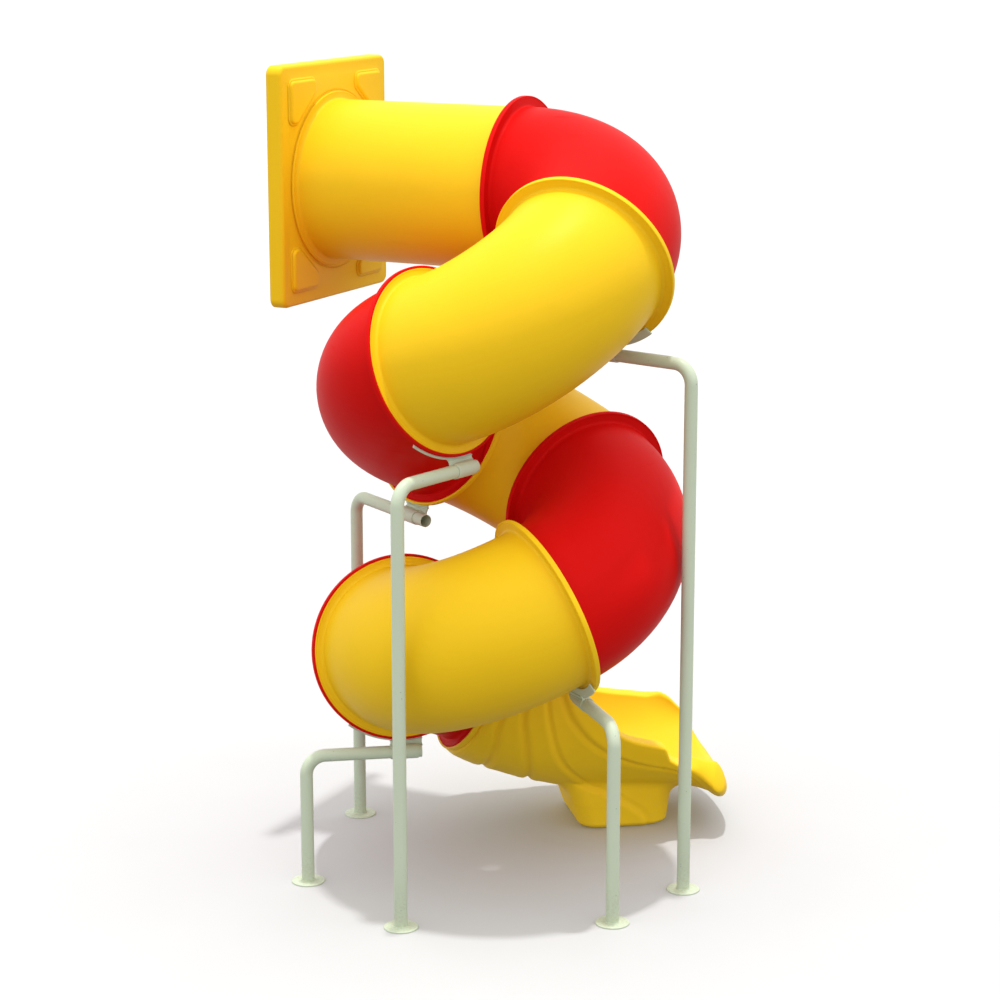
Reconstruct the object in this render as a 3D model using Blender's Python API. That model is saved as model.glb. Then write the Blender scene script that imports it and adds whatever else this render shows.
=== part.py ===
"""Spiral tube slide: a square entry panel, a straight entry tube, seven quarter-turn
elbows bolted flange to flange, an open exit chute with a moulded foot, and five bent
steel posts whose arms carry the joints on saddles. Metres, +Z up, ground at z = 0."""
import bpy
import bmesh
from math import asin, atan2, cos, hypot, pi, radians, sin, tan
from mathutils import Matrix, Vector

# Fits
GAP = 0.0003
JOINT_GAP = GAP / 2

# Plastic tube sections
TUBE_RADIUS = 0.385
WALL = 0.008
FLANGE_RADIUS = 0.424
SOCKET_RADIUS = 0.436
SOCKET_LIP = 0.012
FLANGE_THICKNESS = 0.012
FILLET = 0.012
CUFF = FLANGE_THICKNESS + FILLET
BORE_RADIUS = TUBE_RADIUS - WALL
RING_SIDES = 28
SOCKET_BORE = (FLANGE_RADIUS + GAP) / cos(pi / RING_SIDES)

# Elbows: how far each one dips below the level as it turns right, from the top down
ELBOW_SWEEP = radians(91.7)
BEND_RADIUS = 0.526
BEND_STEPS = 5
ELBOW_DIPS = tuple(radians(dip) for dip in (25.6, 22.2, 22.4, 18.6, 22.7, 8.7, 22.3))
ENTRY_HEIGHT = 3.172
ENTRY_LENGTH = 1.014

# Entry panel
PANEL_WIDTH = 1.010
PANEL_HEIGHT = 1.142
PANEL_THICKNESS = 0.082
PANEL_CORNER = 0.045
PANEL_SKIN = 0.006
PANEL_HOLE = BORE_RADIUS
VENT_RADIUS = 0.008
VENT_OFFSET = 0.300
PANEL_COLLAR_RADIUS = 0.424
PAD_HEIGHT = 0.018
PAD_LENGTH = 0.235
PAD_DROP = 0.200
PAD_CUT = 0.060
PAD_MARGIN = 0.074

# Posts: joint number, reach outboard of it, arm past its centre, arm's swing downstream
POSTS = (
    (2, 0.490, -0.020, radians(11)),
    (3, 0.475, 0.070, radians(-2.3)),
    (4, 0.525, 0.125, radians(7.4)),
    (6, 0.426, 0.085, radians(5.5)),
    (7, 0.475, 0.067, radians(9.7)),
)
POST_RADIUS = 0.030
POST_WALL = 0.0026
POST_BEND = 0.090
POST_SIDES = 12
POST_BEND_STEPS = 5
ARM_DROP = 0.071
FOOT_RADIUS = 0.078
FOOT_THICKNESS = 0.008
FOOT_CHAMFER = 0.003

# Brackets under the joints: a flat arc on the flange's downstream face, a web in the same plane
SADDLE_THICKNESS = 0.008
SADDLE_INNER = 0.404
SADDLE_OUTER = 0.445
SADDLE_START = radians(-10)
SADDLE_END = radians(38.5)
SADDLE_STEPS = 8
WEB_HALF_ANGLE = radians(10.3)
WEB_STEPS = 4
WEB_WAIST = 0.152
SLEEVE_WALL = 0.004
SLEEVE_LENGTH = 0.130
SLEEVE_SHIFT = 0.015

# Exit chute: every run is a level distance along its path from the last joint
CHUTE_COLLAR_RADIUS = 0.436
CHUTE_STRAIGHT = 0.100
CHUTE_SAG_RADIUS = 2.100
CHUTE_TURN = radians(5)
CHUTE_TURN_LENGTH = 0.800
CHUTE_TURN_RADIUS = CHUTE_TURN_LENGTH / CHUTE_TURN
LIP_START = 1.000
LIP_RADIUS = 0.450
FLATTEN_START = 0.600
FLATTEN_END = 1.210
FLATTEN_LEAST = 0.280
CHUTE_SKIN = 0.008
# Outside radius at each run: a collar, three swollen rings with grooves between, the nose
CHUTE_OUTSIDE = (
    (0.040, 0.452), (0.095, 0.464), (0.150, 0.460), (0.172, 0.445), (0.200, 0.460),
    (0.290, 0.472), (0.350, 0.468), (0.372, 0.452), (0.400, 0.472), (0.500, 0.484),
    (0.640, 0.484), (0.800, 0.478), (0.940, 0.474), (1.060, 0.474), (1.130, 0.480),
    (1.170, 0.474), (1.198, 0.456), (1.210, 0.430),
)
# How far the trough's floor falls away towards the end of the nose
CHUTE_NOSE = ((1.120, 0.0), (1.170, 0.006), (1.198, 0.020), (1.280, 0.090))
TROUGH_RUNS = (-0.050, 0.100, 0.250, 0.400, 0.550, 0.700, 0.800, 0.900, 1.000, 1.070)
# Where the walls end: run, height of the right-hand wall, height of the left-hand wall
RIM_LINE = (
    (0.100, 1.400, 1.400), (0.200, 0.960, 0.960), (0.320, 0.720, 0.740),
    (0.460, 0.600, 0.640), (0.670, 0.522, 0.550), (0.760, 0.495, 0.522),
    (0.895, 0.445, 0.505), (0.930, 0.392, 0.497), (1.030, 0.350, 0.470),
    (1.130, 0.310, 0.405), (1.240, 0.260, 0.300), (1.400, 0.190, 0.160),
)
RIM_CUT_TOP = 1.800
RIM_CUT_SIDES = (-0.700, -0.400, 0.400, 0.700)
# The foot under the run-out: height, front run, back run, half width
LEG_LEVELS = (
    (0.000, 0.525, 0.935, 0.225),
    (0.025, 0.512, 0.950, 0.242),
    (0.150, 0.472, 0.962, 0.262),
    (0.220, 0.415, 0.972, 0.270),
    (0.300, 0.340, 0.985, 0.230),
)
LEG_CORNER = 0.070
LEG_DRAIN = 0.060

YELLOW = (0.94, 0.60, 0.02)
RED = (0.66, 0.012, 0.010)
CREAM = (0.62, 0.64, 0.52)
UP = Vector((0, 0, 1))


def clear_scene():
    for old in list(bpy.data.objects):
        bpy.data.objects.remove(old, do_unlink=True)


def finish(name, colour, roughness, metallic):
    """One Principled material for one node."""
    material = bpy.data.materials.new(name)
    material.use_nodes = True
    shader = material.node_tree.nodes["Principled BSDF"]
    shader.inputs["Base Color"].default_value = (*colour, 1.0)
    shader.inputs["Roughness"].default_value = roughness
    shader.inputs["Metallic"].default_value = metallic
    return material


def plastic(name, colour):
    return finish(name + "_plastic", colour, 0.32, 0.0)


def powder_coat(name):
    return finish(name + "_coat", CREAM, 0.45, 0.0)


def add_object(name, bm, material=None):
    """Close off a bmesh as a named object with faces pointing out."""
    bmesh.ops.recalc_face_normals(bm, faces=bm.faces)
    mesh = bpy.data.meshes.new(name)
    bm.to_mesh(mesh)
    bm.free()
    mesh.shade_smooth()
    mesh.set_sharp_from_angle(angle=radians(32))
    if material:
        mesh.materials.append(material)
    placed = bpy.data.objects.new(name, mesh)
    bpy.context.collection.objects.link(placed)
    return placed


def axes_at(origin, along, side):
    """A frame with Z along the tube and X to the given side."""
    z_axis = along.normalized()
    x_axis = (side - z_axis * side.dot(z_axis)).normalized()
    y_axis = z_axis.cross(x_axis)
    turn = Matrix((x_axis, y_axis, z_axis)).transposed().to_4x4()
    return Matrix.Translation(origin) @ turn


def ring_points(frame, radius, sides=RING_SIDES):
    return [
        frame @ Vector((radius * cos(2 * pi * step / sides), radius * sin(2 * pi * step / sides), 0))
        for step in range(sides)
    ]


def loft(bm, rings, closed=False):
    """Skin a list of equal rings; closed joins the last to the first, else both ends are capped."""
    rows = [[bm.verts.new(point) for point in ring] for ring in rings]
    pairs = list(zip(rows, rows[1:]))
    if closed:
        pairs.append((rows[-1], rows[0]))
    for lower, upper in pairs:
        for step in range(len(lower)):
            after = (step + 1) % len(lower)
            bm.faces.new((lower[step], lower[after], upper[after], upper[step]))
    if not closed:
        bm.faces.new(rows[0])
        bm.faces.new(rows[-1])
    return rows


def downhill_axes(along):
    """The level direction to the right of a heading, and the way down square to both."""
    right = along.cross(UP).normalized()
    return right, along.cross(right).normalized()


class Elbow:
    """A planar bend with a straight cuff at each end, placed from its start joint."""

    def __init__(self, start, along, dip):
        right, down = downhill_axes(along)
        self.start = start
        self.along = along
        self.inward = right * cos(dip) + down * sin(dip)
        self.arc_start = start + along * CUFF
        self.finish_along = self.direction(ELBOW_SWEEP)
        self.finish = self.arc_point(ELBOW_SWEEP) + self.finish_along * CUFF

    def direction(self, angle):
        return self.along * cos(angle) + self.inward * sin(angle)

    def arc_point(self, angle):
        reach = self.along * sin(angle) + self.inward * (1 - cos(angle))
        return self.arc_start + reach * BEND_RADIUS

    def frame(self, angle):
        side = self.inward * cos(angle) - self.along * sin(angle)
        return axes_at(self.arc_point(angle), self.direction(angle), side)

    def frame_before(self, distance):
        """A frame in the first cuff, measured from the start joint."""
        return axes_at(self.start + self.along * distance, self.along, self.inward)

    def frame_after(self, distance):
        """A frame in the last cuff, measured back from the end joint."""
        side = self.inward * cos(ELBOW_SWEEP) - self.along * sin(ELBOW_SWEEP)
        return axes_at(self.finish - self.finish_along * distance, self.finish_along, side)


def elbow_chain():
    start = Vector((0, 0, ENTRY_HEIGHT))
    along = Vector((1, 0, 0))
    chain = []
    for dip in ELBOW_DIPS:
        elbow = Elbow(start, along, dip)
        chain.append(elbow)
        start = elbow.finish
        along = elbow.finish_along
    return chain


def socket_rings(frame_at):
    """Outside rings of the wider flange, whose lip reaches back over the flange before it."""
    return [
        ring_points(frame_at(JOINT_GAP), SOCKET_BORE),
        ring_points(frame_at(-SOCKET_LIP), SOCKET_BORE),
        ring_points(frame_at(-SOCKET_LIP), SOCKET_RADIUS),
        ring_points(frame_at(FLANGE_THICKNESS), SOCKET_RADIUS),
        ring_points(frame_at(FLANGE_THICKNESS), TUBE_RADIUS + FILLET),
    ]


def flange_rings(frame_at, radius=FLANGE_RADIUS):
    """Outside rings of one flange, from its joint face to the start of the tube wall."""
    return [
        ring_points(frame_at(JOINT_GAP), radius),
        ring_points(frame_at(FLANGE_THICKNESS), radius),
        ring_points(frame_at(FLANGE_THICKNESS), TUBE_RADIUS + FILLET),
    ]


def add_elbow(name, elbow, colour):
    angles = [ELBOW_SWEEP * step / BEND_STEPS for step in range(BEND_STEPS + 1)]
    outside = socket_rings(elbow.frame_before)
    outside += [ring_points(elbow.frame(angle), TUBE_RADIUS) for angle in angles]
    outside += reversed(flange_rings(elbow.frame_after))
    inside = [ring_points(elbow.frame_after(JOINT_GAP), BORE_RADIUS)]
    inside += [ring_points(elbow.frame(angle), BORE_RADIUS) for angle in reversed(angles)]
    inside.append(ring_points(elbow.frame_before(JOINT_GAP), BORE_RADIUS))
    bm = bmesh.new()
    loft(bm, outside + inside, closed=True)
    return add_object(name, bm, plastic(name, colour))


def add_entry_tube(panel_face):
    """The straight tube, with a flange on the panel and a flange on the first elbow."""
    joint = Vector((0, 0, ENTRY_HEIGHT))
    along = Vector((1, 0, 0))

    def from_joint(distance):
        return axes_at(joint - along * distance, along, UP)

    def from_panel(distance):
        return axes_at(panel_face + along * distance, along, UP)

    outside = flange_rings(from_panel, PANEL_COLLAR_RADIUS)
    outside.append(ring_points(from_panel(CUFF), TUBE_RADIUS))
    outside.append(ring_points(from_joint(CUFF), TUBE_RADIUS))
    outside += reversed(flange_rings(from_joint))
    inside = [
        ring_points(from_joint(JOINT_GAP), BORE_RADIUS),
        ring_points(from_panel(JOINT_GAP), BORE_RADIUS),
    ]
    bm = bmesh.new()
    loft(bm, outside + inside, closed=True)
    return add_object("entry_tube", bm, plastic("entry_tube", YELLOW))


def rounded_rectangle(width, height, corner, steps=4):
    """Outline in Y and Z, counter-clockwise, with arcs at the corners."""
    outline = []
    for quarter, (sign_y, sign_z) in enumerate(((1, 1), (-1, 1), (-1, -1), (1, -1))):
        centre_y = sign_y * (width / 2 - corner)
        centre_z = sign_z * (height / 2 - corner)
        for step in range(steps + 1):
            angle = pi / 2 * (quarter + step / steps)
            outline.append((centre_y + corner * cos(angle), centre_z + corner * sin(angle)))
    return outline


def add_prism(name, outline, back, front):
    """Extrude an outline of Y and Z between two X planes."""
    bm = bmesh.new()
    loft(bm, [[Vector((x, y, z)) for y, z in outline] for x in (back, front)])
    return add_object(name, bm)


def add_cylinder(name, frame, radius, start, end, sides=RING_SIDES):
    bm = bmesh.new()
    loft(bm, [
        ring_points(frame @ Matrix.Translation((0, 0, start)), radius, sides),
        ring_points(frame @ Matrix.Translation((0, 0, end)), radius, sides),
    ])
    return add_object(name, bm)


def combine(target, tool, operation):
    """Apply one exact Boolean to the target and drop the tool."""
    modifier = target.modifiers.new(operation.lower(), "BOOLEAN")
    modifier.operation = operation
    modifier.object = tool
    modifier.solver = "EXACT"
    graph = bpy.context.evaluated_depsgraph_get()
    result = bpy.data.meshes.new_from_object(target.evaluated_get(graph))
    target.modifiers.clear()
    target.data = result
    bpy.data.objects.remove(tool, do_unlink=True)


def corner_pad_outline(sign_y, sign_z):
    """A three-cornered pad in the panel's corner, its long side facing the tube."""
    outer_y = PANEL_WIDTH / 2 - PAD_MARGIN
    outer_z = PANEL_HEIGHT / 2 - PAD_MARGIN
    corner = (
        (outer_y, outer_z),
        (outer_y - PAD_LENGTH, outer_z),
        (outer_y - PAD_LENGTH, outer_z - PAD_CUT),
        (outer_y - PAD_CUT, outer_z - PAD_DROP),
        (outer_y, outer_z - PAD_DROP),
    )
    return [(sign_y * y, ENTRY_HEIGHT + sign_z * z) for y, z in corner]


def add_entry_panel(face_x):
    """The hollow moulded panel, with corner pads, the bore and two vents."""
    back_x = face_x - PANEL_THICKNESS
    lifted = [(y, z + ENTRY_HEIGHT) for y, z in rounded_rectangle(PANEL_WIDTH, PANEL_HEIGHT, PANEL_CORNER)]
    panel = add_prism("entry_panel", lifted, back_x, face_x)
    for sign_y in (1, -1):
        for sign_z in (1, -1):
            outline = corner_pad_outline(sign_y, sign_z)
            combine(panel, add_prism("pad", outline, face_x - PANEL_SKIN / 2, face_x + PAD_HEIGHT), "UNION")
    inset = rounded_rectangle(
        PANEL_WIDTH - 2 * PANEL_SKIN, PANEL_HEIGHT - 2 * PANEL_SKIN, PANEL_CORNER - PANEL_SKIN)
    lifted_inset = [(y, z + ENTRY_HEIGHT) for y, z in inset]
    hollow = add_prism("panel_hollow", lifted_inset, back_x + PANEL_SKIN, face_x - PANEL_SKIN)
    bore_axis = axes_at(Vector((face_x, 0, ENTRY_HEIGHT)), Vector((1, 0, 0)), UP)
    throat_ends = (-2 * PANEL_THICKNESS, PANEL_THICKNESS)
    throat = add_cylinder("throat", bore_axis, PANEL_HOLE + PANEL_SKIN, *throat_ends)
    combine(hollow, throat, "DIFFERENCE")
    combine(panel, hollow, "DIFFERENCE")
    bore = add_cylinder("bore", bore_axis, PANEL_HOLE, -2 * PANEL_THICKNESS, PANEL_THICKNESS)
    combine(panel, bore, "DIFFERENCE")
    for sign_y in (1, -1):
        base = Vector((face_x - PANEL_THICKNESS / 2, sign_y * VENT_OFFSET, ENTRY_HEIGHT - PANEL_HEIGHT / 2))
        vent_axis = axes_at(base, UP, Vector((1, 0, 0)))
        vent = add_cylinder("vent", vent_axis, VENT_RADIUS, -PANEL_SKIN, 2 * PANEL_SKIN, 8)
        combine(panel, vent, "DIFFERENCE")
    panel.data.materials.clear()
    panel.data.materials.append(plastic("entry_panel", YELLOW))
    return panel


class Chute:
    """The exit chute's path: straight from the last joint, then sagging to level and turning right."""

    def __init__(self, start, along):
        self.start = start
        self.heading = Vector((along.x, along.y, 0)).normalized()
        self.slope = atan2(-along.z, hypot(along.x, along.y))

    def tilt(self, run):
        """Downward angle of the axis at a run."""
        turned = max(run - CHUTE_STRAIGHT, 0) / CHUTE_SAG_RADIUS
        return asin(max(sin(self.slope) - turned, 0))

    def height(self, run):
        """Height of the axis; past the start of the lip it drops away again."""
        straight = min(run, CHUTE_STRAIGHT)
        sag = CHUTE_SAG_RADIUS * (cos(self.tilt(run)) - cos(self.slope))
        droop = max(run - LIP_START, 0) ** 2 / (2 * LIP_RADIUS)
        return self.start.z - straight * tan(self.slope) - sag - droop

    def plan(self, run):
        """Level place and heading of the axis at a run."""
        past = run - CHUTE_STRAIGHT
        turned = min(max(past, 0), CHUTE_TURN_LENGTH) / CHUTE_TURN_RADIUS
        heading = Matrix.Rotation(-turned, 3, "Z") @ self.heading
        right = self.heading.cross(UP)
        arc = (self.heading * sin(turned) + right * (1 - cos(turned))) * CHUTE_TURN_RADIUS
        straight = self.heading * min(run, CHUTE_STRAIGHT) + heading * max(past - CHUTE_TURN_LENGTH, 0)
        return self.start + straight + arc, heading

    def frame(self, run):
        """The axis frame, its X axis up and its Z axis down the chute."""
        origin, heading = self.plan(run)
        origin.z = self.height(run)
        tilt = self.tilt(run)
        return axes_at(origin, heading * cos(tilt) - UP * sin(tilt), UP)

    def point(self, run, side, height):
        """A point at a run, offset to the right of the path, at a height over the ground."""
        origin, heading = self.plan(run)
        spot = origin + heading.cross(UP) * side
        return Vector((spot.x, spot.y, height))

    def ring(self, run, radius):
        """A cross-section whose lower half is pressed flatter towards the lip."""
        share = min(max((run - FLATTEN_START) / (FLATTEN_END - FLATTEN_START), 0), 1)
        flat = 1 - (1 - FLATTEN_LEAST) * share ** 2
        frame = self.frame(run)
        ring = []
        for step in range(RING_SIDES):
            angle = 2 * pi * step / RING_SIDES
            ring.append(frame @ Vector((radius * (flat * cos(angle) + flat - 1), radius * sin(angle), 0)))
        return ring


def chute_outside(chute, inset):
    """The outer skin as a solid; its inset copy bounds the hollow."""
    if inset:
        rings = [chute.ring(JOINT_GAP + inset, CHUTE_COLLAR_RADIUS - inset)]
    else:
        rings = [
            chute.ring(JOINT_GAP, SOCKET_BORE),
            chute.ring(-SOCKET_LIP, SOCKET_BORE),
            chute.ring(-SOCKET_LIP, CHUTE_COLLAR_RADIUS),
            chute.ring(FLANGE_THICKNESS, CHUTE_COLLAR_RADIUS),
        ]
    rings += [chute.ring(run, radius - inset) for run, radius in CHUTE_OUTSIDE[:-1]]
    last_run, last_radius = CHUTE_OUTSIDE[-1]
    rings.append(chute.ring(last_run - inset / 2, last_radius - inset))
    bm = bmesh.new()
    loft(bm, rings)
    return add_object("chute_outside", bm)


def chute_inside(chute, outset):
    """The trough cutter; its outset copy bounds the hollow under the floor."""
    rings = [chute.ring(run, BORE_RADIUS + outset) for run in TROUGH_RUNS]
    rings += [chute.ring(run, BORE_RADIUS + outset + fall) for run, fall in CHUTE_NOSE]
    bm = bmesh.new()
    loft(bm, rings)
    return add_object("chute_inside", bm)


def rim_cutter(chute, drop):
    """Everything above the rim line, right across the chute."""
    slices = []
    for side in RIM_CUT_SIDES:
        line = [(run, right if side > 0 else left) for run, right, left in RIM_LINE]
        outline = [chute.point(run, side, height - drop) for run, height in line]
        outline.append(chute.point(line[-1][0], side, RIM_CUT_TOP))
        outline.append(chute.point(line[0][0], side, RIM_CUT_TOP))
        slices.append(outline)
    bm = bmesh.new()
    loft(bm, slices)
    return add_object("rim_cutter", bm)


def leg_ring(chute, level, inset):
    height, front, back, half = level
    front += inset
    back -= inset
    half -= inset
    corners = (
        (front, half - LEG_CORNER), (front + LEG_CORNER, half),
        (back - LEG_CORNER, half), (back, half - LEG_CORNER),
        (back, LEG_CORNER - half), (back - LEG_CORNER, -half),
        (front + LEG_CORNER, -half), (front, LEG_CORNER - half),
    )
    return [chute.point(run, side, height) for run, side in corners]


def chute_leg(chute, inset):
    rings = [leg_ring(chute, level, inset) for level in LEG_LEVELS]
    if inset:
        for point in rings[0]:
            point.z += inset
    bm = bmesh.new()
    loft(bm, rings)
    return add_object("chute_leg", bm)


def add_exit_chute(chute):
    """A double-skinned moulding: trough, bulged outside, and a foot under the run-out."""
    body = chute_outside(chute, 0.0)
    combine(body, chute_leg(chute, 0.0), "UNION")
    combine(body, chute_inside(chute, 0.0), "DIFFERENCE")
    combine(body, rim_cutter(chute, 0.0), "DIFFERENCE")
    hollow = chute_outside(chute, CHUTE_SKIN)
    combine(hollow, chute_leg(chute, CHUTE_SKIN), "UNION")
    combine(hollow, chute_inside(chute, CHUTE_SKIN), "DIFFERENCE")
    combine(hollow, rim_cutter(chute, CHUTE_SKIN), "DIFFERENCE")
    combine(body, hollow, "DIFFERENCE")
    leg_middle = (LEG_LEVELS[0][1] + LEG_LEVELS[0][2]) / 2
    drain_axis = axes_at(chute.point(leg_middle, 0, 0), UP, chute.heading)
    drain = add_cylinder("drain", drain_axis, LEG_DRAIN, -CHUTE_SKIN, 2 * CHUTE_SKIN, 16)
    combine(body, drain, "DIFFERENCE")
    body.name = "exit_chute"
    body.data.materials.clear()
    body.data.materials.append(plastic("exit_chute", YELLOW))
    return body


class Bracket:
    """Frame of a joint's saddle bracket: out to the post's side, down in the flange plane."""

    def __init__(self, joint, along, swing):
        right, self.down = downhill_axes(along)
        self.joint = joint
        self.along = along.normalized()
        self.out = -right
        self.arm_out = Matrix.Rotation(-swing, 3, "Z") @ self.out
        self.arm_centre = joint + self.down * (FLANGE_RADIUS + ARM_DROP)

    def point(self, out, down, along):
        return self.joint + self.out * out + self.down * down + self.along * along


def bracket_plate(name, bracket, outline):
    """A flat plate against the downstream face of a joint, from an outline of radius and angle."""
    bm = bmesh.new()
    faces = (FLANGE_THICKNESS + GAP, FLANGE_THICKNESS + GAP + SADDLE_THICKNESS)
    loft(bm, [
        [bracket.point(radius * sin(angle), radius * cos(angle), along) for radius, angle in outline]
        for along in faces
    ])
    return add_object(name, bm, powder_coat(name))


def add_saddle(name, bracket):
    """The arc that carries the joint."""
    turn = (SADDLE_END - SADDLE_START) / SADDLE_STEPS
    angles = [SADDLE_START + turn * step for step in range(SADDLE_STEPS + 1)]
    outline = [(SADDLE_OUTER, angle) for angle in angles]
    outline += [(SADDLE_INNER, angle) for angle in reversed(angles)]
    return bracket_plate(name, bracket, outline)


def arm_frames(bracket, middle, length):
    """Frames at the two ends of a stretch of a bracket's arm."""
    reaches = (middle - length / 2, middle + length / 2)
    ends = [bracket.arm_centre + bracket.arm_out * reach for reach in reaches]
    return [axes_at(end, bracket.arm_out, bracket.down) for end in ends]


def add_web(name, bracket):
    """The plate between the saddle and the sleeve, a little waisted, coped over the sleeve."""
    top = (SADDLE_OUTER + GAP) / cos(WEB_HALF_ANGLE / WEB_STEPS)
    angles = [WEB_HALF_ANGLE * (2 * step / WEB_STEPS - 1) for step in range(WEB_STEPS + 1)]
    bottom = FLANGE_RADIUS + ARM_DROP
    half = top * sin(WEB_HALF_ANGLE)
    waist = (top * cos(WEB_HALF_ANGLE) + bottom - POST_RADIUS) / 2
    outline = [(top, angle) for angle in angles]
    for out, down in ((WEB_WAIST / 2, waist), (half, bottom), (-half, bottom), (-WEB_WAIST / 2, waist)):
        outline.append((hypot(out, down), atan2(out, down)))
    web = bracket_plate(name, bracket, outline)
    clear_of_sleeve = POST_RADIUS + GAP + SLEEVE_WALL + GAP / cos(pi / POST_SIDES)
    bm = bmesh.new()
    frames = arm_frames(bracket, 0, 2 * WEB_WAIST)
    loft(bm, [ring_points(frame, clear_of_sleeve, POST_SIDES) for frame in frames])
    combine(web, add_object("sleeve_cutter", bm), "DIFFERENCE")
    return web


def pipe(bm, frames, radius, wall):
    """A round pipe with open ends along a list of frames."""
    outside = [ring_points(frame, radius, POST_SIDES) for frame in frames]
    inside = [ring_points(frame, radius - wall, POST_SIDES) for frame in reversed(frames)]
    loft(bm, outside + inside, closed=True)


def add_sleeve(name, bracket):
    """The socket that the arm slides into, welded under the web."""
    bm = bmesh.new()
    frames = arm_frames(bracket, SLEEVE_SHIFT, SLEEVE_LENGTH)
    pipe(bm, frames, POST_RADIUS + GAP + SLEEVE_WALL, SLEEVE_WALL)
    return add_object(name, bm, powder_coat(name))


def add_post(name, bracket, reach, overlap):
    """A round pipe up from the ground, bent level into the arm."""
    arm_end = bracket.arm_centre - bracket.arm_out * overlap
    corner = bracket.arm_centre + bracket.arm_out * reach
    bottom = Vector((corner.x, corner.y, FOOT_THICKNESS + GAP))
    inward = -bracket.arm_out
    level_side = bracket.arm_out.cross(UP)
    lean = (bracket.down - inward * bracket.down.dot(inward)).normalized()

    def frame(origin, angle):
        """Cross-section turned with the bend, so that it lines up with the sleeve's sides."""
        outer = UP * sin(angle) - inward * cos(angle)
        side = level_side * lean.dot(level_side) + outer * lean.dot(UP)
        return axes_at(origin, UP * cos(angle) + inward * sin(angle), side)

    frames = [frame(bottom, 0)]
    for step in range(POST_BEND_STEPS + 1):
        angle = pi / 2 * step / POST_BEND_STEPS
        from_corner = inward * (1 - cos(angle)) - UP * (1 - sin(angle))
        frames.append(frame(corner + from_corner * POST_BEND, angle))
    frames.append(frame(arm_end, pi / 2))
    bm = bmesh.new()
    pipe(bm, frames, POST_RADIUS, POST_WALL)
    return add_object(name, bm, powder_coat(name))


def add_foot_plate(name, bracket, reach):
    """The round plate welded under a post."""
    corner = bracket.arm_centre + bracket.arm_out * reach
    base = Vector((corner.x, corner.y, 0))
    rings = [
        ring_points(Matrix.Translation(base + UP * height), radius, 24)
        for height, radius in (
            (0, FOOT_RADIUS),
            (FOOT_THICKNESS - FOOT_CHAMFER, FOOT_RADIUS),
            (FOOT_THICKNESS, FOOT_RADIUS - FOOT_CHAMFER),
        )
    ]
    bm = bmesh.new()
    loft(bm, rings)
    return add_object(name, bm, powder_coat(name))


def centre_over_ground(pieces):
    """Put the middle of the whole slide's box over the origin, with the ground at zero."""
    corners = [piece.matrix_world @ vertex.co for piece in pieces for vertex in piece.data.vertices]
    middle_x = (min(c.x for c in corners) + max(c.x for c in corners)) / 2
    middle_y = (min(c.y for c in corners) + max(c.y for c in corners)) / 2
    anchor = bpy.data.objects.new("slide", None)
    bpy.context.collection.objects.link(anchor)
    anchor.location = (-middle_x, -middle_y, 0)
    for piece in pieces:
        piece.parent = anchor


def build():
    clear_scene()
    chain = elbow_chain()
    panel_face = Vector((-ENTRY_LENGTH, 0, ENTRY_HEIGHT))
    pieces = [add_entry_panel(panel_face.x), add_entry_tube(panel_face)]
    for number, elbow in enumerate(chain, start=1):
        colour_name, colour = ("red", RED) if number % 2 else ("yellow", YELLOW)
        pieces.append(add_elbow(f"elbow_{number}_{colour_name}", elbow, colour))
    pieces.append(add_exit_chute(Chute(chain[-1].finish, chain[-1].finish_along)))
    for number, (joint, reach, overlap, swing) in enumerate(POSTS, start=1):
        upstream = chain[joint - 2]
        bracket = Bracket(upstream.finish, upstream.finish_along, swing)
        pieces.append(add_post(f"post_{number}", bracket, reach, overlap))
        pieces.append(add_foot_plate(f"foot_plate_{number}", bracket, reach))
        pieces.append(add_saddle(f"saddle_{number}", bracket))
        pieces.append(add_web(f"saddle_web_{number}", bracket))
        pieces.append(add_sleeve(f"arm_sleeve_{number}", bracket))
    centre_over_ground(pieces)


build()
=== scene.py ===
"""Dresses the spiral tube slide: moulded plastic panel, tubes and chute on powder-coated posts.

Laid out as a Blender add-on. Each operator makes one piece, or a group of like pieces,
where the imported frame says, and the panel in the sidebar lists them in order of making."""
from math import asin, atan2, cos, hypot, pi, radians, sin, sqrt, tan

import bmesh
import bpy
import numpy as np
from mathutils.bvhtree import BVHTree
from mathutils import Matrix, Vector


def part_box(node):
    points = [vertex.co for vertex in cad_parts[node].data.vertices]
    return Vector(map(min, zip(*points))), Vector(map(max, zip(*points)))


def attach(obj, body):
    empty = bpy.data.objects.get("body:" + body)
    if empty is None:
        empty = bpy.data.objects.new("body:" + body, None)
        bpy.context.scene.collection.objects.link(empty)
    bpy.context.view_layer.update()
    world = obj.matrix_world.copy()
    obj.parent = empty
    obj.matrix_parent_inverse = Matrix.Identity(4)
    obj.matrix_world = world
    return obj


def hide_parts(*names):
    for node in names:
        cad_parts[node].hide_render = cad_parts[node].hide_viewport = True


bl_info = {
    "name": "Spiral Tube Slide",
    "version": (1, 0, 0),
    "blender": (4, 5, 0),
    "location": "3D View > Sidebar > Slide",
    "description": "Makes a playground tube slide with its panel, chute, posts and stage",
    "category": "Add Mesh",
}

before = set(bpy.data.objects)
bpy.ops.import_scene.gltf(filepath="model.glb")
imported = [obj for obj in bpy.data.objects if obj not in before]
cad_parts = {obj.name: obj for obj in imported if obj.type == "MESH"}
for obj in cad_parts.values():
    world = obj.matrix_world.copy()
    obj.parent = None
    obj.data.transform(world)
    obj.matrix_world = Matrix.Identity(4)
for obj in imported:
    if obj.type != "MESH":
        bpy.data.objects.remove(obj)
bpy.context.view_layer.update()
UP = Vector((0, 0, 1))

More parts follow.
